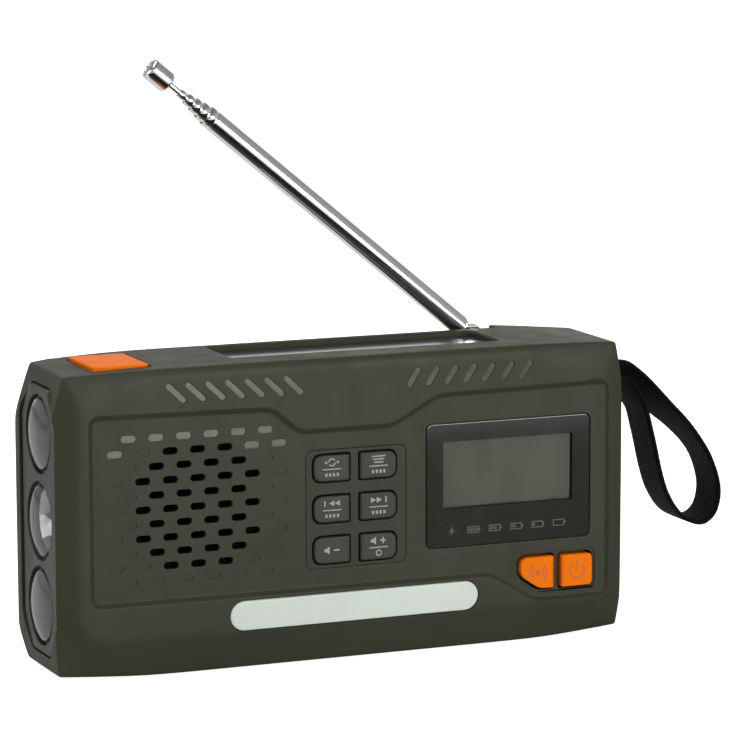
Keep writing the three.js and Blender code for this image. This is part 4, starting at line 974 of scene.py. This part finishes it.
def faceted_reflector(lamp):
    """A metallised bowl pressed with diamond facets."""
    bm = bmesh.new()
    chance = np.random.default_rng(FACET_SEED)
    rings = []
    for index, (radius, along) in enumerate(bowl_profile(FACET_ROWS, 1.35)):
        if 1 < index <= FACET_ROWS:
            along += chance.uniform(-FACET_JITTER, FACET_JITTER)
        shift = 0.5 if 1 < index <= FACET_ROWS + 1 and index % 2 else 0.0
        turns = [2 * math.pi * (s + shift) / FACET_COLUMNS for s in range(FACET_COLUMNS)]
        rings.append([bm.verts.new((along, radius * math.cos(a), radius * math.sin(a))) for a in turns])
    for index, first in enumerate(rings):
        second = rings[(index + 1) % len(rings)]
        leads = 1 < index <= FACET_ROWS + 1 and index % 2
        for s in range(FACET_COLUMNS):
            t = (s + 1) % FACET_COLUMNS
            bm.faces.new((first[s], first[t], second[t] if leads else second[s]))
            bm.faces.new((first[s], second[t], second[s]) if leads else (first[t], second[t], second[s]))
    bmesh.ops.recalc_face_normals(bm, faces=bm.faces)
    bm.transform(lamp_matrix(lamp))
    reflector(lamp, bm, "faceted", 3)


def torch_button():
    z0, z1 = node_box("torch_button")[4:]
    cap = pillow(node_outline("torch_button", "z", 1.4), "z", z0, z1 + TORCH_KEY_RISE, 0.8, 0.5)
    piece("torch_button_cap", cap, "torch_button", "orange_plastic", "orange", "torch_button")


# ------------------------------------------------------------------ display and controls

def display_window():
    """A glossy printed sheet with a clear opening over the display's face."""
    y0, y1 = node_box("display_window")[2:4]
    levels = [(y1, 0), (y0 + 0.16, 0), (y0 + 0.05, -0.07), (y0, -0.22)]
    mask = mesh_object("display_mask", prism(node_outline("display_window", "y", 2), levels, "y"))
    x0, x1, z0, z1 = LCD_FACE
    face = rectangle(x0 - 0.2, x1 + 0.2, z0 - 0.2, z1 + 0.2, 0.4)
    carve(mask, prism(face, [(y0 - 3, 0), (y1 + 3, 0)], "y"))
    finish(mask, "root", "window_glass", "print", "display_window")
    pane = prism(grown(face, -0.02), [(y0 + 0.01, 0), (y0 + 0.25, 0)], "y")
    piece("display_pane", pane, "root", "window_glass", "pane")
    icons(y0)


def inked(name, outlines, face_y, body, slot, look):
    """Flat printed marks that stand a little proud of a face that looks towards -Y."""
    levels = [(face_y - INK_RISE, 0), (face_y + 0.05, 0)]
    piece(name, merged(*[prism(outline, levels, "y") for outline in outlines]), body, slot, look)


def bar(x, z, width, height):
    w, h = width / 2, height / 2
    return [(x - w, z - h), (x + w, z - h), (x + w, z + h), (x - w, z + h)]


def arrow(x, z, size, side=1):
    reach = side * size / 2
    return [(x - reach, z - size / 2), (x + reach, z), (x - reach, z + size / 2)][::side]


def arc(x, z, radius, width, start, end, steps=14):
    """A curved stroke between two angles in degrees."""
    angles = [math.radians(start + (end - start) * s / steps) for s in range(steps + 1)]
    outer, inner = (
        [(x + r * math.cos(a), z + r * math.sin(a)) for a in angles]
        for r in (radius + width / 2, radius - width / 2)
    )
    return outer + inner[::-1]


def icons(face_y):
    """Charging sign and five battery levels under the display, each below a pin hole for its light; the pin
    holes are near-black dots of painted shade, not cut.
    """
    z, first_x, pitch, length, height, line = 33.9, 31.2, 6.7, 3.6, 1.9, 0.26
    bolt = [(-0.45, -1.5), (0.9, 0.35), (0.12, 0.35), (0.5, 1.5), (-0.85, -0.25), (0.0, -0.25)]
    marks = [[(first_x + u, z + v) for u, v in bolt]]
    # Painted shade for the pin holes: flat near-black dots, not holes.
    lights = [circle(first_x + pitch * index, z + 3.0, 0.3, 12) for index in range(6)]
    rail, side = (height - line) / 2, (length - line) / 2
    for index in range(1, 6):
        x = first_x + pitch * index
        marks += [bar(x, z + rail, length, line), bar(x, z - rail, length, line)]
        marks += [bar(x + s * side, z, line, height - 2 * line - 0.02) for s in (-1, 1)]
        marks += [bar(x + length / 2 + 0.2, z, 0.34, 0.75)]
        marks += [bar(x - 1.05 + 0.7 * cell, z, 0.42, 0.8) for cell in range(5 - index)]
    inked("display_icons", marks, face_y, "root", "window_glass", "faint")
    inked("display_pin_hole_shades", lights, face_y, "root", "window_glass", "pin_hole")


def speaker_mark(x, z):
    shape = [(-1.1, -0.45), (-0.45, -0.45), (0.45, -1.15), (0.45, 1.15), (-0.45, 0.45), (-1.1, 0.45)]
    return [(x + u, z + v) for u, v in shape]


def key_marks(name, x, z):
    """Generic signs: change, list, step down, step up, quieter and louder."""
    high, low, left, right = z + 1.7, z - 1.85, x - 1.3, x + 1.3
    rule = [bar(x, z - 0.25, 5.6, 0.3)]
    dots = rule + [bar(x + 1.15 * (n - 1.5), low, 0.62, 0.95) for n in range(4)]
    if name == "mode_key":
        turn = [arc(x, high, 1.0, 0.34, 35, 175), arc(x, high, 1.0, 0.34, 215, 355)]
        return turn + [arrow(x + 1.9, high, 0.9), arrow(x - 1.9, high, 0.9, -1)] + dots
    if name == "menu_key":
        return [bar(x, z + 2.5 - 0.85 * n, 4.2 - 0.7 * n, 0.36) for n in range(3)] + dots
    if name in ("tune_down_key", "tune_up_key"):
        side = 1 if name == "tune_up_key" else -1
        pair = [arrow(x + side * (n - 0.5) * 1.75 - side * 0.7, high, 1.6, side) for n in range(2)]
        return pair + [bar(x + side * 2.2, high, 0.4, 1.7)] + dots
    if name == "volume_down_key":
        return [speaker_mark(left, z), bar(right, z, 1.7, 0.42)]
    plus = [bar(right, high, 1.7, 0.42), bar(right, z + 2.26, 0.42, 0.68), bar(right, z + 1.14, 0.42, 0.68)]
    ring = [arc(x, low, 0.75, 0.32, 0, 175), arc(x, low, 0.75, 0.32, 180, 355)]
    return [speaker_mark(left, high)] + plus + rule + ring


def rubber_keys():
    for name in LEFT_KEYS + RIGHT_KEYS:
        y0, y1 = node_box(name)[2:4]
        cap = pillow(node_outline(name, "y", key_radii(name, 2.75, 0.6)), "y", y1, y0, 0.55, 0.4)
        piece(f"{name}_cap", cap, name, "key_plastic", "key", name)
        inked(f"{name}_sign", key_marks(name, *node_middle(name, "y")), y0, name, "key_plastic", "ink")


def orange_buttons():
    for name in ORANGE_KEYS:
        y0, y1 = node_box(name)[2:4]
        cap = pillow(grown(key_hole(name), -KEY_GAP - ORANGE_KEY_SHRINK), "y", y1, y0, 0.45, 0.4)
        piece(f"{name}_cap", cap, name, "orange_plastic", "orange", name)
        x, z = node_middle(name, "y")
        if name == "power_button":
            marks = [arc(x, z, 2.3, 0.5, -235, 55, 24), bar(x, z + 1.6, 0.5, 2.6)]
        else:
            marks = [circle(x + 0.2, z, 0.75, 20)]
            for radius in (1.7, 2.75):
                marks += [arc(x + 0.2, z, radius, 0.42, -48, 48), arc(x + 0.2, z, radius, 0.42, 132, 228)]
        inked(f"{name}_sign", marks, y0, name, "orange_plastic", "orange_ink")


def light_bar():
    x0, x1, y0, y1, z0, z1 = node_box("lamp_diffuser")
    outline = stadium((x0 + x1) / 2, (z0 + z1) / 2, x1 - x0, z1 - z0, steps=24)
    cover = pillow(outline, "y", y1, y0, 0.7, 0.45)
    piece("light_bar_cover", cover, "root", "white_diffuser", "diffuser", "lamp_diffuser")


def solar_panel():
    z0, z1 = node_box("solar_panel")[4:]
    levels = [(z0, 0), (z1 - 0.3, 0), (z1 - 0.08, -0.08), (z1, -0.3)]
    panel = prism(node_outline("solar_panel", "z", 0.6), levels, "z")
    piece("solar_panel_glass", panel, "root", "solar_glass", "solar", "solar_panel")


# ------------------------------------------------------------------ antenna

BASE_TUBE = (3.1, 2.8, 3.4, 104.8)  # outer radius, inner radius, start and end along the mast
MAST_TUBES = ((2.65, 2.35, 8, 107.4), (2.2, 1.9, 9, 110), (1.75, 1.45, 10, 112.6), (1.3, 1.05, 11, 115.2))
PLUG_END, TIP_START, TIP_ROD_RADIUS = 6.0, 12, 0.85
END_KNOB = {"radius": 3.1, "start": 119.3, "end": 127.1}


def mast_matrix():
    return axis_matrix(MAST_PIVOT, (-math.cos(MAST_TILT), 0, math.sin(MAST_TILT)))


def rolled_end(outer, inner, end):
    """Profile of a tube's open end: a pressed groove, then the wall rolled in over the next tube."""
    return [
        (outer, end - 2.6), (outer - 0.14, end - 2.3), (outer - 0.14, end - 1.9), (outer, end - 1.6),
        (outer, end - 0.5), (outer - 0.12, end - 0.12), ((outer + inner) / 2, end), (inner, end - 0.02),
    ]


def antenna_sections():
    outer, inner, start, end = BASE_TUBE
    profile = [(0, start), (outer - 0.5, start), (outer, start + 0.5)]
    profile += rolled_end(outer, inner, end) + [(inner, PLUG_END), (0, PLUG_END)]
    base = mesh_object("antenna_tube_1", lathe(profile, 64))
    tongue = rod("y", (0, 0), 2.9, -1.3, 1.3, 48, 0.2)
    carve(base, carved(tongue, block(0, 5, -1.25, 1.25, -2.4, 2.4), operation="UNION"), operation="UNION")
    carve(base, rod("y", (0, 0), PIN_HOLE_RADIUS, -5, 5, 24))
    base.data.transform(mast_matrix())
    finish(base, "antenna_section_1", "chrome", "chrome", "antenna_section_1", sharp=30)
    for index, (outer, inner, start, end) in enumerate(MAST_TUBES, start=2):
        profile = [(inner, start), (outer, start)] + rolled_end(outer, inner, end)
        tube = lathe(profile, 56, mast_matrix(), closed=True)
        node = f"antenna_section_{index}"
        piece(f"antenna_tube_{index}", tube, node, "chrome", "chrome", node, sharp=30)


def antenna_tip():
    radius, start, end = END_KNOB["radius"], END_KNOB["start"], END_KNOB["end"]
    profile = [
        (0, TIP_START), (TIP_ROD_RADIUS, TIP_START), (TIP_ROD_RADIUS, start), (2.0, start),
        (2.6, start + 0.15), (radius - 0.1, start + 0.55), (radius, start + 0.9), (radius, end - 1.3),
        (radius - 0.12, end - 0.75), (radius - 0.5, end - 0.25), (radius - 1.1, end - 0.02),
        (1.5, end), (1.35, end - 0.25), (0, end - 0.25),
    ]
    tip = lathe(profile, 64, mast_matrix())
    piece("antenna_tip_rod", tip, "antenna_tip", "chrome", "chrome", "antenna_tip", sharp=60)


def antenna_swivel():
    x, y, z = MAST_PIVOT
    swivel = mesh_object("antenna_swivel_post", rod("z", (x, y), 1.8, 76.5, 81.2, 32))
    foot, flange = rod("z", (x, y), 2.6, 76, 78, 32, 0.2), rod("z", (x, y), 3.05, 80.6, 81.4, 48, 0.15)
    ear = [(x + EAR_RADIUS * math.cos(a), z + EAR_RADIUS * math.sin(a)) for a in np.linspace(0, math.pi, 25)]
    ear += [(x - 2.6, 81), (x + 2.6, 81)]
    ears = []
    for side in (-1, 1):
        near, far = sorted((y + side * 1.55, y + side * 2.55))
        ears.append(prism(ear, [(near, -0.12), (near + 0.15, 0), (far - 0.25, 0), (far, -0.25)], "y"))
    carve(swivel, foot, flange, *ears, operation="UNION")
    carve(swivel, rod("y", (x, z), PIN_HOLE_RADIUS, 0, 30, 24))
    finish(swivel, "antenna_swivel", "chrome", "chrome", "antenna_swivel", sharp=30)
    pin = mesh_object("antenna_rivet", rod("y", (x, z), 0.9, y - 3, y + 3, 24))
    for side in (-1, 1):
        near, far = y + side * 2.8, y + side * 3.2
        head = prism(circle(x, z, 1.7, 32), [(near, 0), (far - side * 0.2, 0), (far, -0.4)], "y")
        carve(pin, head, operation="UNION")
    finish(pin, "antenna_swivel", "steel", "steel", "antenna_pin", sharp=30)


# ------------------------------------------------------------------ crank, door and screws

ARM_REACH, ARM_HALF, KNOB_WINDOW = 32.6, 7.6, 5.3
KNOB_RADIUS, KNOB_START, KNOB_END, KNOB_FLUTES = 4.5, 4.2, 19.2, 12
SCREW_PROFILE = (
    (0, -4), (0.7, -4), (1.2, -3.2), (1.2, 18.3), (2.6, 18.3), (2.6, 19.2), (2.2, 19.75), (1.2, 20), (0, 20),
)


def crank_arm():
    x, z = DISH_X, DISH_Z
    end_x, hinge = x - ARM_REACH, (KNOB_X, KNOB_Y)
    outline = rectangle(end_x, x, z - ARM_HALF, z + ARM_HALF, [0.9, 0.1, 0.1, 0.9])
    levels = [(13.2, -0.4), (13.6, 0), (19.0, 0), (19.6, -0.6)]
    arm = mesh_object("crank_arm_frame", prism(outline, levels, "y"))
    hub = prism(circle(x, z, 8.6, 72), [(12, -0.5), (12.5, 0), (19.2, 0), (19.9, -0.35), (20.2, -1.1)], "y")
    carve(arm, hub, rod("y", (x, z), 3, 0.8, 13.4, 32), operation="UNION")
    x0, x1 = end_x + 2.3, x - 6.5
    window = rectangle(x0, x1, z - KNOB_WINDOW, z + KNOB_WINDOW, 0.2)
    pin_hole = ("z", hinge, 1.3, z - 15, z + 15, 20)
    carve(
        arm,
        opening(window, "y", 19.6, KNOB_Y, 0.35),
        rod("x", (KNOB_Y, z), KNOB_WINDOW, x0, x1, 48),
        rod(*pin_hole),
        carved(rod("y", (x, z), 6.4, 19.8, 25, 64), rod("y", (x, z), 5.6, 10, 30, 64)),
    )
    finish(arm, "crank", "olive_shell", "shell", "crank_arm")
    carrier = mesh_object("knob_carrier", rod("z", hinge, 3, z - 4.8, z + 4.8, 40, 0.3))
    carve(carrier, rod("x", (KNOB_Y, z), 1.5, KNOB_X, KNOB_X + 17.4, 24), operation="UNION")
    carve(carrier, rod(*pin_hole))
    finish(carrier, "knob_carrier", "dark_plastic", "dark", "crank_knob_carrier")
    pin = rod("z", hinge, 1.0, z - 7.4, z + 7.4, 24, 0.2)
    piece("knob_pin", pin, "crank", "steel", "steel", "crank_knob_pin")


def crank_knob():
    x, z, radius, start, end = KNOB_X, DISH_Z, KNOB_RADIUS, KNOB_START, KNOB_END
    profile = [(0, end), (radius - 1.2, end), (radius - 0.4, end - 0.35), (radius, end - 1.1)]
    for step in range(1, 8):
        share = step / 8
        profile.append((radius - 0.55 * math.sin(math.pi * share), end - 1.1 - (end - start - 2.2) * share))
    profile += [(radius, start + 1.1), (radius - 0.4, start + 0.35), (radius - 1.2, start),
                (1.8, start), (1.8, end - 1.5), (0, end - 1.5)]
    knob = mesh_object("crank_knob_grip", lathe(profile, 72, axis_matrix((x, KNOB_Y, z), (1, 0, 0))))
    for index in range(KNOB_FLUTES):
        angle = 2 * math.pi * index / KNOB_FLUTES
        place = (KNOB_Y + (radius + 0.35) * math.cos(angle), z + (radius + 0.35) * math.sin(angle))
        carve(knob, rod("x", place, 0.8, x + start + 2.4, x + end - 2.4, 16, 0.4))
    finish(knob, "crank_knob", "dark_plastic", "dark", "crank_knob")


def battery_door():
    x0, x1, y0, y1, z0, z1 = node_box("battery_door")
    radius = (y1 - y0) / 2
    hinge_y, hinge_z = (y0 + y1) / 2, z0 + radius
    foot = [(hinge_y + radius * math.cos(a), hinge_z + radius * math.sin(a))
            for a in np.linspace(math.pi, 2 * math.pi, 17)]
    outline = foot + rounded([(y1, z1 - 2), (y1, z1), (y0, z1), (y0, z1 - 2)], [0.1, 0.35, 0.35, 0.1], 3)
    levels = [(x0, -0.3), (x0 + 0.3, 0), (x1 - 0.3, 0), (x1, -0.3)]
    door = mesh_object("battery_door_leaf", prism(outline, levels, "x"))
    carve(door, opening(rectangle(*DOOR_GRIP, 1.6), "y", y1, hinge_y + 0.2, 0.3, 0.3))
    for row in range(4):
        groove = stadium(45, 42.4 - 2.6 * row, 24, 1.2, steps=6)
        carve(door, opening(groove, "y", y1, y1 - 0.45, 0.2, steps=2))
    finish(door, "battery_door", "olive_shell", "shell", "battery_door")


def case_screws():
    for index, (x, z) in enumerate(screw_places(), start=1):
        matrix = axis_matrix((x, 0, z), (0, 1, 0), (1, 0, 0))
        screw = mesh_object(f"screw_{index}", lathe(SCREW_PROFILE, 40, matrix))
        wide = block(x - 1.5, x + 1.5, 19.1, 25, z - 0.3, z + 0.3)
        tall = block(x - 0.3, x + 0.3, 19.1, 25, z - 1.5, z + 1.5)
        carve(screw, carved(wide, tall, operation="UNION"))
        finish(screw, "root", "steel", "steel", f"case_screw_{index}")


# ------------------------------------------------------------------ strap and port flap

BEND_RADIUS, STRAP_SAMPLES, STRAP_RIBS, SCALLOP_PITCH = 1.9, 560, 9, 1.8
STRAP_LOOP = (
    (89.8, 76.0), (97.0, 71.5), (105.7, 62.9), (114.0, 55.2), (120.4, 47.0), (123.6, 38), (123.0, 31.3),
    (120.2, 27.8), (116.4, 27.3), (111.0, 30.2), (106.9, 36), (104.4, 43), (101.5, 55), (98.8, 63.2),
    (92.6, 69.6),
)


def smooth_loop(points, samples):
    """Evenly spaced (x, z) places along a closed Catmull-Rom curve, and their distances along it."""
    rows = [Vector(p) for p in points]
    dense = []
    for index in range(len(rows)):
        p0, p1, p2, p3 = (rows[(index + k) % len(rows)] for k in (-1, 0, 1, 2))
        for step in range(24):
            t = step / 24
            dense.append(0.5 * (2 * p1 + (p2 - p0) * t + (2 * p0 - 5 * p1 + 4 * p2 - p3) * t * t
                                + (3 * p1 - p0 - 3 * p2 + p3) * t ** 3))
    dense.append(rows[0])
    lengths = [0.0]
    for a, b in zip(dense, dense[1:]):
        lengths.append(lengths[-1] + (b - a).length)
    marks = np.linspace(0, lengths[-1], samples + 1)
    xs, zs = (np.interp(marks, lengths, [p[part] for p in dense]) for part in (0, 1))
    return list(zip(xs, zs))[:-1], marks


def swell(value, start, top, fall, end):
    """0 before start and after end, 1 from top to fall, with smooth sides."""
    if value <= start or value >= end:
        return 0.0
    share = min(1.0, (value - start) / (top - start), (end - value) / (end - fall))
    return share * share * (3 - 2 * share)


def side_of(places, index):
    """Unit normal, in (x, z), of a closed path at one of its places."""
    tangent = (Vector(places[(index + 1) % len(places)]) - Vector(places[index - 1])).normalized()
    return Vector((-tangent.y, tangent.x))


def strap_section():
    """Ribbed section as (place across the strap, share of half its thickness)."""
    section = []
    for side in (1, -1):
        for step in range(25):
            across = side * (-1 + 2 * step / 24)
            edge = min(1.0, (1 - abs(across)) / 0.07)
            rib = 0.94 + 0.06 * math.cos(2 * math.pi * STRAP_RIBS * across)
            section.append((across * STRAP_WIDTH / 2, side * (0.35 + 0.65 * math.sqrt(edge)) * rib))
    return section


def wrist_strap():
    """A closed band of woven webbing that passes round the bar in the strap pocket."""
    turns = [math.radians(degrees) for degrees in range(-60, -301, -40)]
    wrap = [(STRAP_BAR_X + BEND_RADIUS * math.cos(a), STRAP_BAR_Z + BEND_RADIUS * math.sin(a)) for a in turns]
    places, marks = smooth_loop(wrap + list(STRAP_LOOP), STRAP_SAMPLES)
    count = len(places)
    wrap_end = min(range(count // 2), key=lambda i: math.hypot(places[i][0] - 84.5, places[i][1] - 74.8))
    section = strap_section()
    bm = bmesh.new()
    uv_layer = bm.loops.layers.uv.new("UVMap")
    rings = []
    for index, (x, z) in enumerate(places):
        normal = side_of(places, index)
        near = math.hypot(x - STRAP_BAR_X, z - STRAP_BAR_Z)
        half = 0.5 + (STRAP_THICKNESS / 2 - 0.5) * min(1.0, max(0.0, (near - 2.5) / 4))
        scallop = 1 + 0.006 * math.sin(2 * math.pi * marks[index] / SCALLOP_PITCH)
        upper, lower = marks[index] - marks[wrap_end], marks[-1] - marks[index]
        turn = STRAP_TWIST * (0.6 * swell(upper, 0.5, 10, 22, 52) - 0.8 * swell(lower, 0.5, 7, 8, 22))
        cos, sin = math.cos(turn), math.sin(turn)
        ring = []
        for across, share in section:
            out, side = share * half, across * scallop
            lift = out * cos - side * sin
            y = STRAP_Y + out * sin + side * cos
            ring.append(bm.verts.new((x + normal.x * lift, y, z + normal.y * lift)))
        rings.append(ring)
    for index, ring in enumerate(rings):
        following = rings[(index + 1) % count]
        for s in range(len(section)):
            t = (s + 1) % len(section)
            face = bm.faces.new((ring[s], ring[t], following[t], following[s]))
            corners = ((index, s), (index, t), (index + 1, t), (index + 1, s))
            for corner, (i, k) in zip(face.loops, corners):
                corner[uv_layer].uv = (marks[i], section[k][0])
    bmesh.ops.recalc_face_normals(bm, faces=bm.faces)
    piece("wrist_strap_webbing", bm, "wrist_strap", "webbing", "webbing", "wrist_strap", sharp=60)
    stitches(places)


def stitches(places):
    """Two rows of bar tack across the strap where its end is sewn down."""
    profile = [(0, -0.6), (0.14, -0.5), (0.2, -0.3), (0.2, 0.3), (0.14, 0.5), (0, 0.6)]
    capsules = []
    for row_x in (96.5, 98.5):
        near = min(range(len(places)), key=lambda i: abs(places[i][0] - row_x) + (places[i][1] < 70) * 99)
        normal = side_of(places, near)
        outward = normal if normal.y > 0 else -normal
        x, z = Vector(places[near]) + outward * (STRAP_THICKNESS / 2)
        for step in range(8):
            y = STRAP_Y - 5.4 + 1.55 * step
            capsules.append(lathe(profile, 8, axis_matrix((x, y, z), (0, 1, 0), (1, 0, 0))))
    piece("strap_stitching", merged(*capsules), "wrist_strap", "webbing", "thread")


def port_flap():
    x0, x1, y0, y1, z0, z1 = node_box("port_flap")
    radius = 0.8
    roll = [(x1 - radius + radius * math.cos(a), y1 - radius + radius * math.sin(a))
            for a in np.linspace(0, math.pi, 13)]
    tail = rounded([(x1 - 2 * radius, y0 + 2), (x0, y0), (x1, y0), (x1, y0 + 2)], [0.1, 0.3, 0.4, 0.1], 3)
    levels = [(z0, -0.25), (z0 + 0.25, 0), (z1 - 0.25, 0), (z1, -0.25)]
    flap = mesh_object("port_flap_cover", prism(roll + tail, levels, "z"))
    for row in range(3):
        groove = stadium(y0 + 1.5 + 1.1 * row, (z0 + z1) / 2, 9, 0.6, math.pi / 2, 5)
        carve(flap, opening(groove, "x", x1, x1 - 0.35, 0.1, steps=2))
    finish(flap, "port_flap", "rubber", "rubber", "port_flap")


# ------------------------------------------------------------------ inner CAD parts

CARRIED = {
    "steel": "speaker_frame generator spring_contacts button_contacts usb_port",
    "dark": "gearbox_plate battery_tray headphone_jack",
    "gear": "crank_gear idler_gear",
    "cell_green": "dry_cell_1 dry_cell_2 dry_cell_3",
    "shaded_cone": "speaker_cone", "board": "main_board", "led_strip": "lamp_led_board", "lcd": "lcd_module",
    "torch_board": "torch_led_board", "brass": "generator_rotor", "cell_blue": "lithium_cell",
}


def dress_carried(node, look):
    """Gives an inner CAD part its material and a fine bevel on its sharp edges."""
    node.data.materials.clear()
    node.data.materials.append(LOOK[look])
    node.modifiers.new("weld", "WELD").merge_threshold = 1e-6
    flat = node.modifiers.new("flat", "DECIMATE")
    flat.decimate_type = "DISSOLVE"
    flat.angle_limit = math.radians(0.5)
    bevel = node.modifiers.new("edge", "BEVEL")
    bevel.width = 0.12 * MM
    bevel.segments = 2
    bevel.limit_method = "ANGLE"
    bevel.angle_limit = math.radians(40)
    bevel.use_clamp_overlap = True
    node.modifiers.new("normals", "WEIGHTED_NORMAL").keep_sharp = True


front_casing()
rear_casing()
torch_bezel()
for lamp_name in LAMPS:
    torch_lens(lamp_name, "clear" if lamp_name == "middle" else "tinted")
smooth_reflector("top")
faceted_reflector("middle")
smooth_reflector("bottom")
torch_button()
display_window()
rubber_keys()
orange_buttons()
light_bar()
solar_panel()
antenna_sections()
antenna_tip()
antenna_swivel()
crank_arm()
crank_knob()
battery_door()
case_screws()
wrist_strap()
port_flap()
for carried_look, carried_names in CARRIED.items():
    for carried_name in carried_names.split():
        dress_carried(bpy.data.objects[carried_name], carried_look)


# ------------------------------------------------------------------ stage, light and camera, in metres

SKY, GLOW_LOW, GLOW_HIGH = 0.13, 0.60, 0.22
FLOOR_LIFT, FLOOR_REACH, FLOOR_Z, FLAG_Z = 0.90, 9.0, -0.0003, 0.0005
FLAG_CORNERS = ((-0.60, -0.03), (-0.60, -0.40), (0.70, -0.33), (0.70, -0.03))
LIGHT_TARGET = (0, 0, 0.05)
LIGHTS = (  # name, place, width and height, watts
    ("key_box", (0.48, -1.48, 0.22), (1.0, 0.4), 14.5),
    ("side_box", (-1.3, -0.10, 0.45), (0.9, 0.8), 3.8),
    ("top_box", (-0.2, 0.15, 1.2), (1.2, 0.35), 10.5),
    ("back_card", (0.55, 1.5, 0.25), (2.0, 0.5), 3.2),
)
FOCAL_LENGTH, SENSOR_WIDTH, CAMERA_DISTANCE = 184.45, 36.0, 1.0505
CAMERA_AZIMUTH, CAMERA_ELEVATION, CAMERA_ROLL = math.radians(-22.47), math.radians(8.92), math.radians(-0.14)
CAMERA_TARGET = Vector((5.55, -19.5, 82.51)) * MM


def placed_in_scene(name, data, place):
    obj = bpy.data.objects.new(name, data)
    obj.location = place
    obj.rotation_mode = "QUATERNION"
    bpy.context.scene.collection.objects.link(obj)
    return obj


def area_light(name, place, size, power):
    light = bpy.data.lights.new(name, "AREA")
    light.shape = "RECTANGLE"
    light.size, light.size_y = size
    light.energy = power
    obj = placed_in_scene(name, light, place)
    obj.rotation_quaternion = (Vector(LIGHT_TARGET) - Vector(place)).to_track_quat("-Z", "Y")


def studio_sky():
    """A dim even sky; reflections alone see it glow towards the horizon."""
    world = bpy.data.worlds.new("studio_sky")
    world.use_nodes = True
    tree = world.node_tree
    kinds = ("TexCoord", "SeparateXYZ", "MapRange", "Mix", "LightPath")
    direction, split, glow, share, path = (tree.nodes.new("ShaderNode" + kind) for kind in kinds)
    for name, number in (("From Min", 0.0), ("From Max", 0.7), ("To Min", GLOW_LOW), ("To Max", GLOW_HIGH)):
        glow.inputs[name].default_value = number
    share.inputs[2].default_value = SKY
    background = tree.nodes["Background"]
    background.inputs[0].default_value = (1, 1, 1, 1)
    for source, target in (
        (direction.outputs["Generated"], split.inputs[0]),
        (split.outputs[2], glow.inputs["Value"]),
        (path.outputs["Is Glossy Ray"], share.inputs[0]),
        (glow.outputs["Result"], share.inputs[3]),
        (share.outputs[0], background.inputs[1]),
    ):
        tree.links.new(source, target)
    bpy.context.scene.world = world


def stage_sheet(name, corners, height, material):
    bm = bmesh.new()
    bm.faces.new([bm.verts.new((x, y, height)) for x, y in corners])
    sheet = mesh_object(name, bm)
    sheet.data.materials.append(material)


def reflection_card():
    """A dark flag on the floor in front that only mirror-like surfaces see."""
    shader = Shader("studio_flag")
    shader.set(base=(0.02, 0.02, 0.02), roughness=0.9, specular=0.0)
    seen = shader.add("LightPath").outputs["Is Glossy Ray"]
    shader.mixed(seen, shader.add("BsdfTransparent").outputs[0], shader.surface.outputs[0])
    stage_sheet("studio_flag", FLAG_CORNERS, FLAG_Z, shader.material)


def studio():
    """A pale floor, soft boxes and a dim even sky; the floor looks lit up to the camera alone."""
    shader = Shader("studio_paper")
    shader.set(base=(0.90, 0.90, 0.90), roughness=0.9, specular=0.1)
    lift = shader.add("Emission")
    seen = shader.add("LightPath").outputs["Is Camera Ray"]
    shader.feed(shader.times(seen, FLOOR_LIFT), lift.inputs["Strength"])
    both = shader.add("AddShader")
    shader.feed(shader.surface.outputs[0], both.inputs[0])
    shader.feed(lift.outputs[0], both.inputs[1])
    shader.feed(both.outputs[0], shader.output.inputs[0])
    r = FLOOR_REACH
    stage_sheet("studio_floor", ((-r, -r), (r, -r), (r, r), (-r, r)), FLOOR_Z, shader.material)
    reflection_card()
    studio_sky()
    for name, place, size, power in LIGHTS:
        area_light(name, place, size, power)


def camera():
    """A long lens to the left of the front, a little above the radio."""
    data = bpy.data.cameras.new("camera")
    data.lens, data.sensor_width = FOCAL_LENGTH, SENSOR_WIDTH
    data.clip_start, data.clip_end = 0.05, 20
    level = math.cos(CAMERA_ELEVATION)
    back = Vector((
        math.sin(CAMERA_AZIMUTH) * level, -math.cos(CAMERA_AZIMUTH) * level, math.sin(CAMERA_ELEVATION),
    ))
    obj = placed_in_scene("camera", data, CAMERA_TARGET + back * CAMERA_DISTANCE)
    turn = (-back).to_track_quat("-Z", "Y")
    obj.rotation_quaternion = turn @ Matrix.Rotation(CAMERA_ROLL, 3, "Z").to_quaternion()
    bpy.context.scene.camera = obj


studio()
camera()
bpy.context.scene.view_settings.view_transform = "Standard"
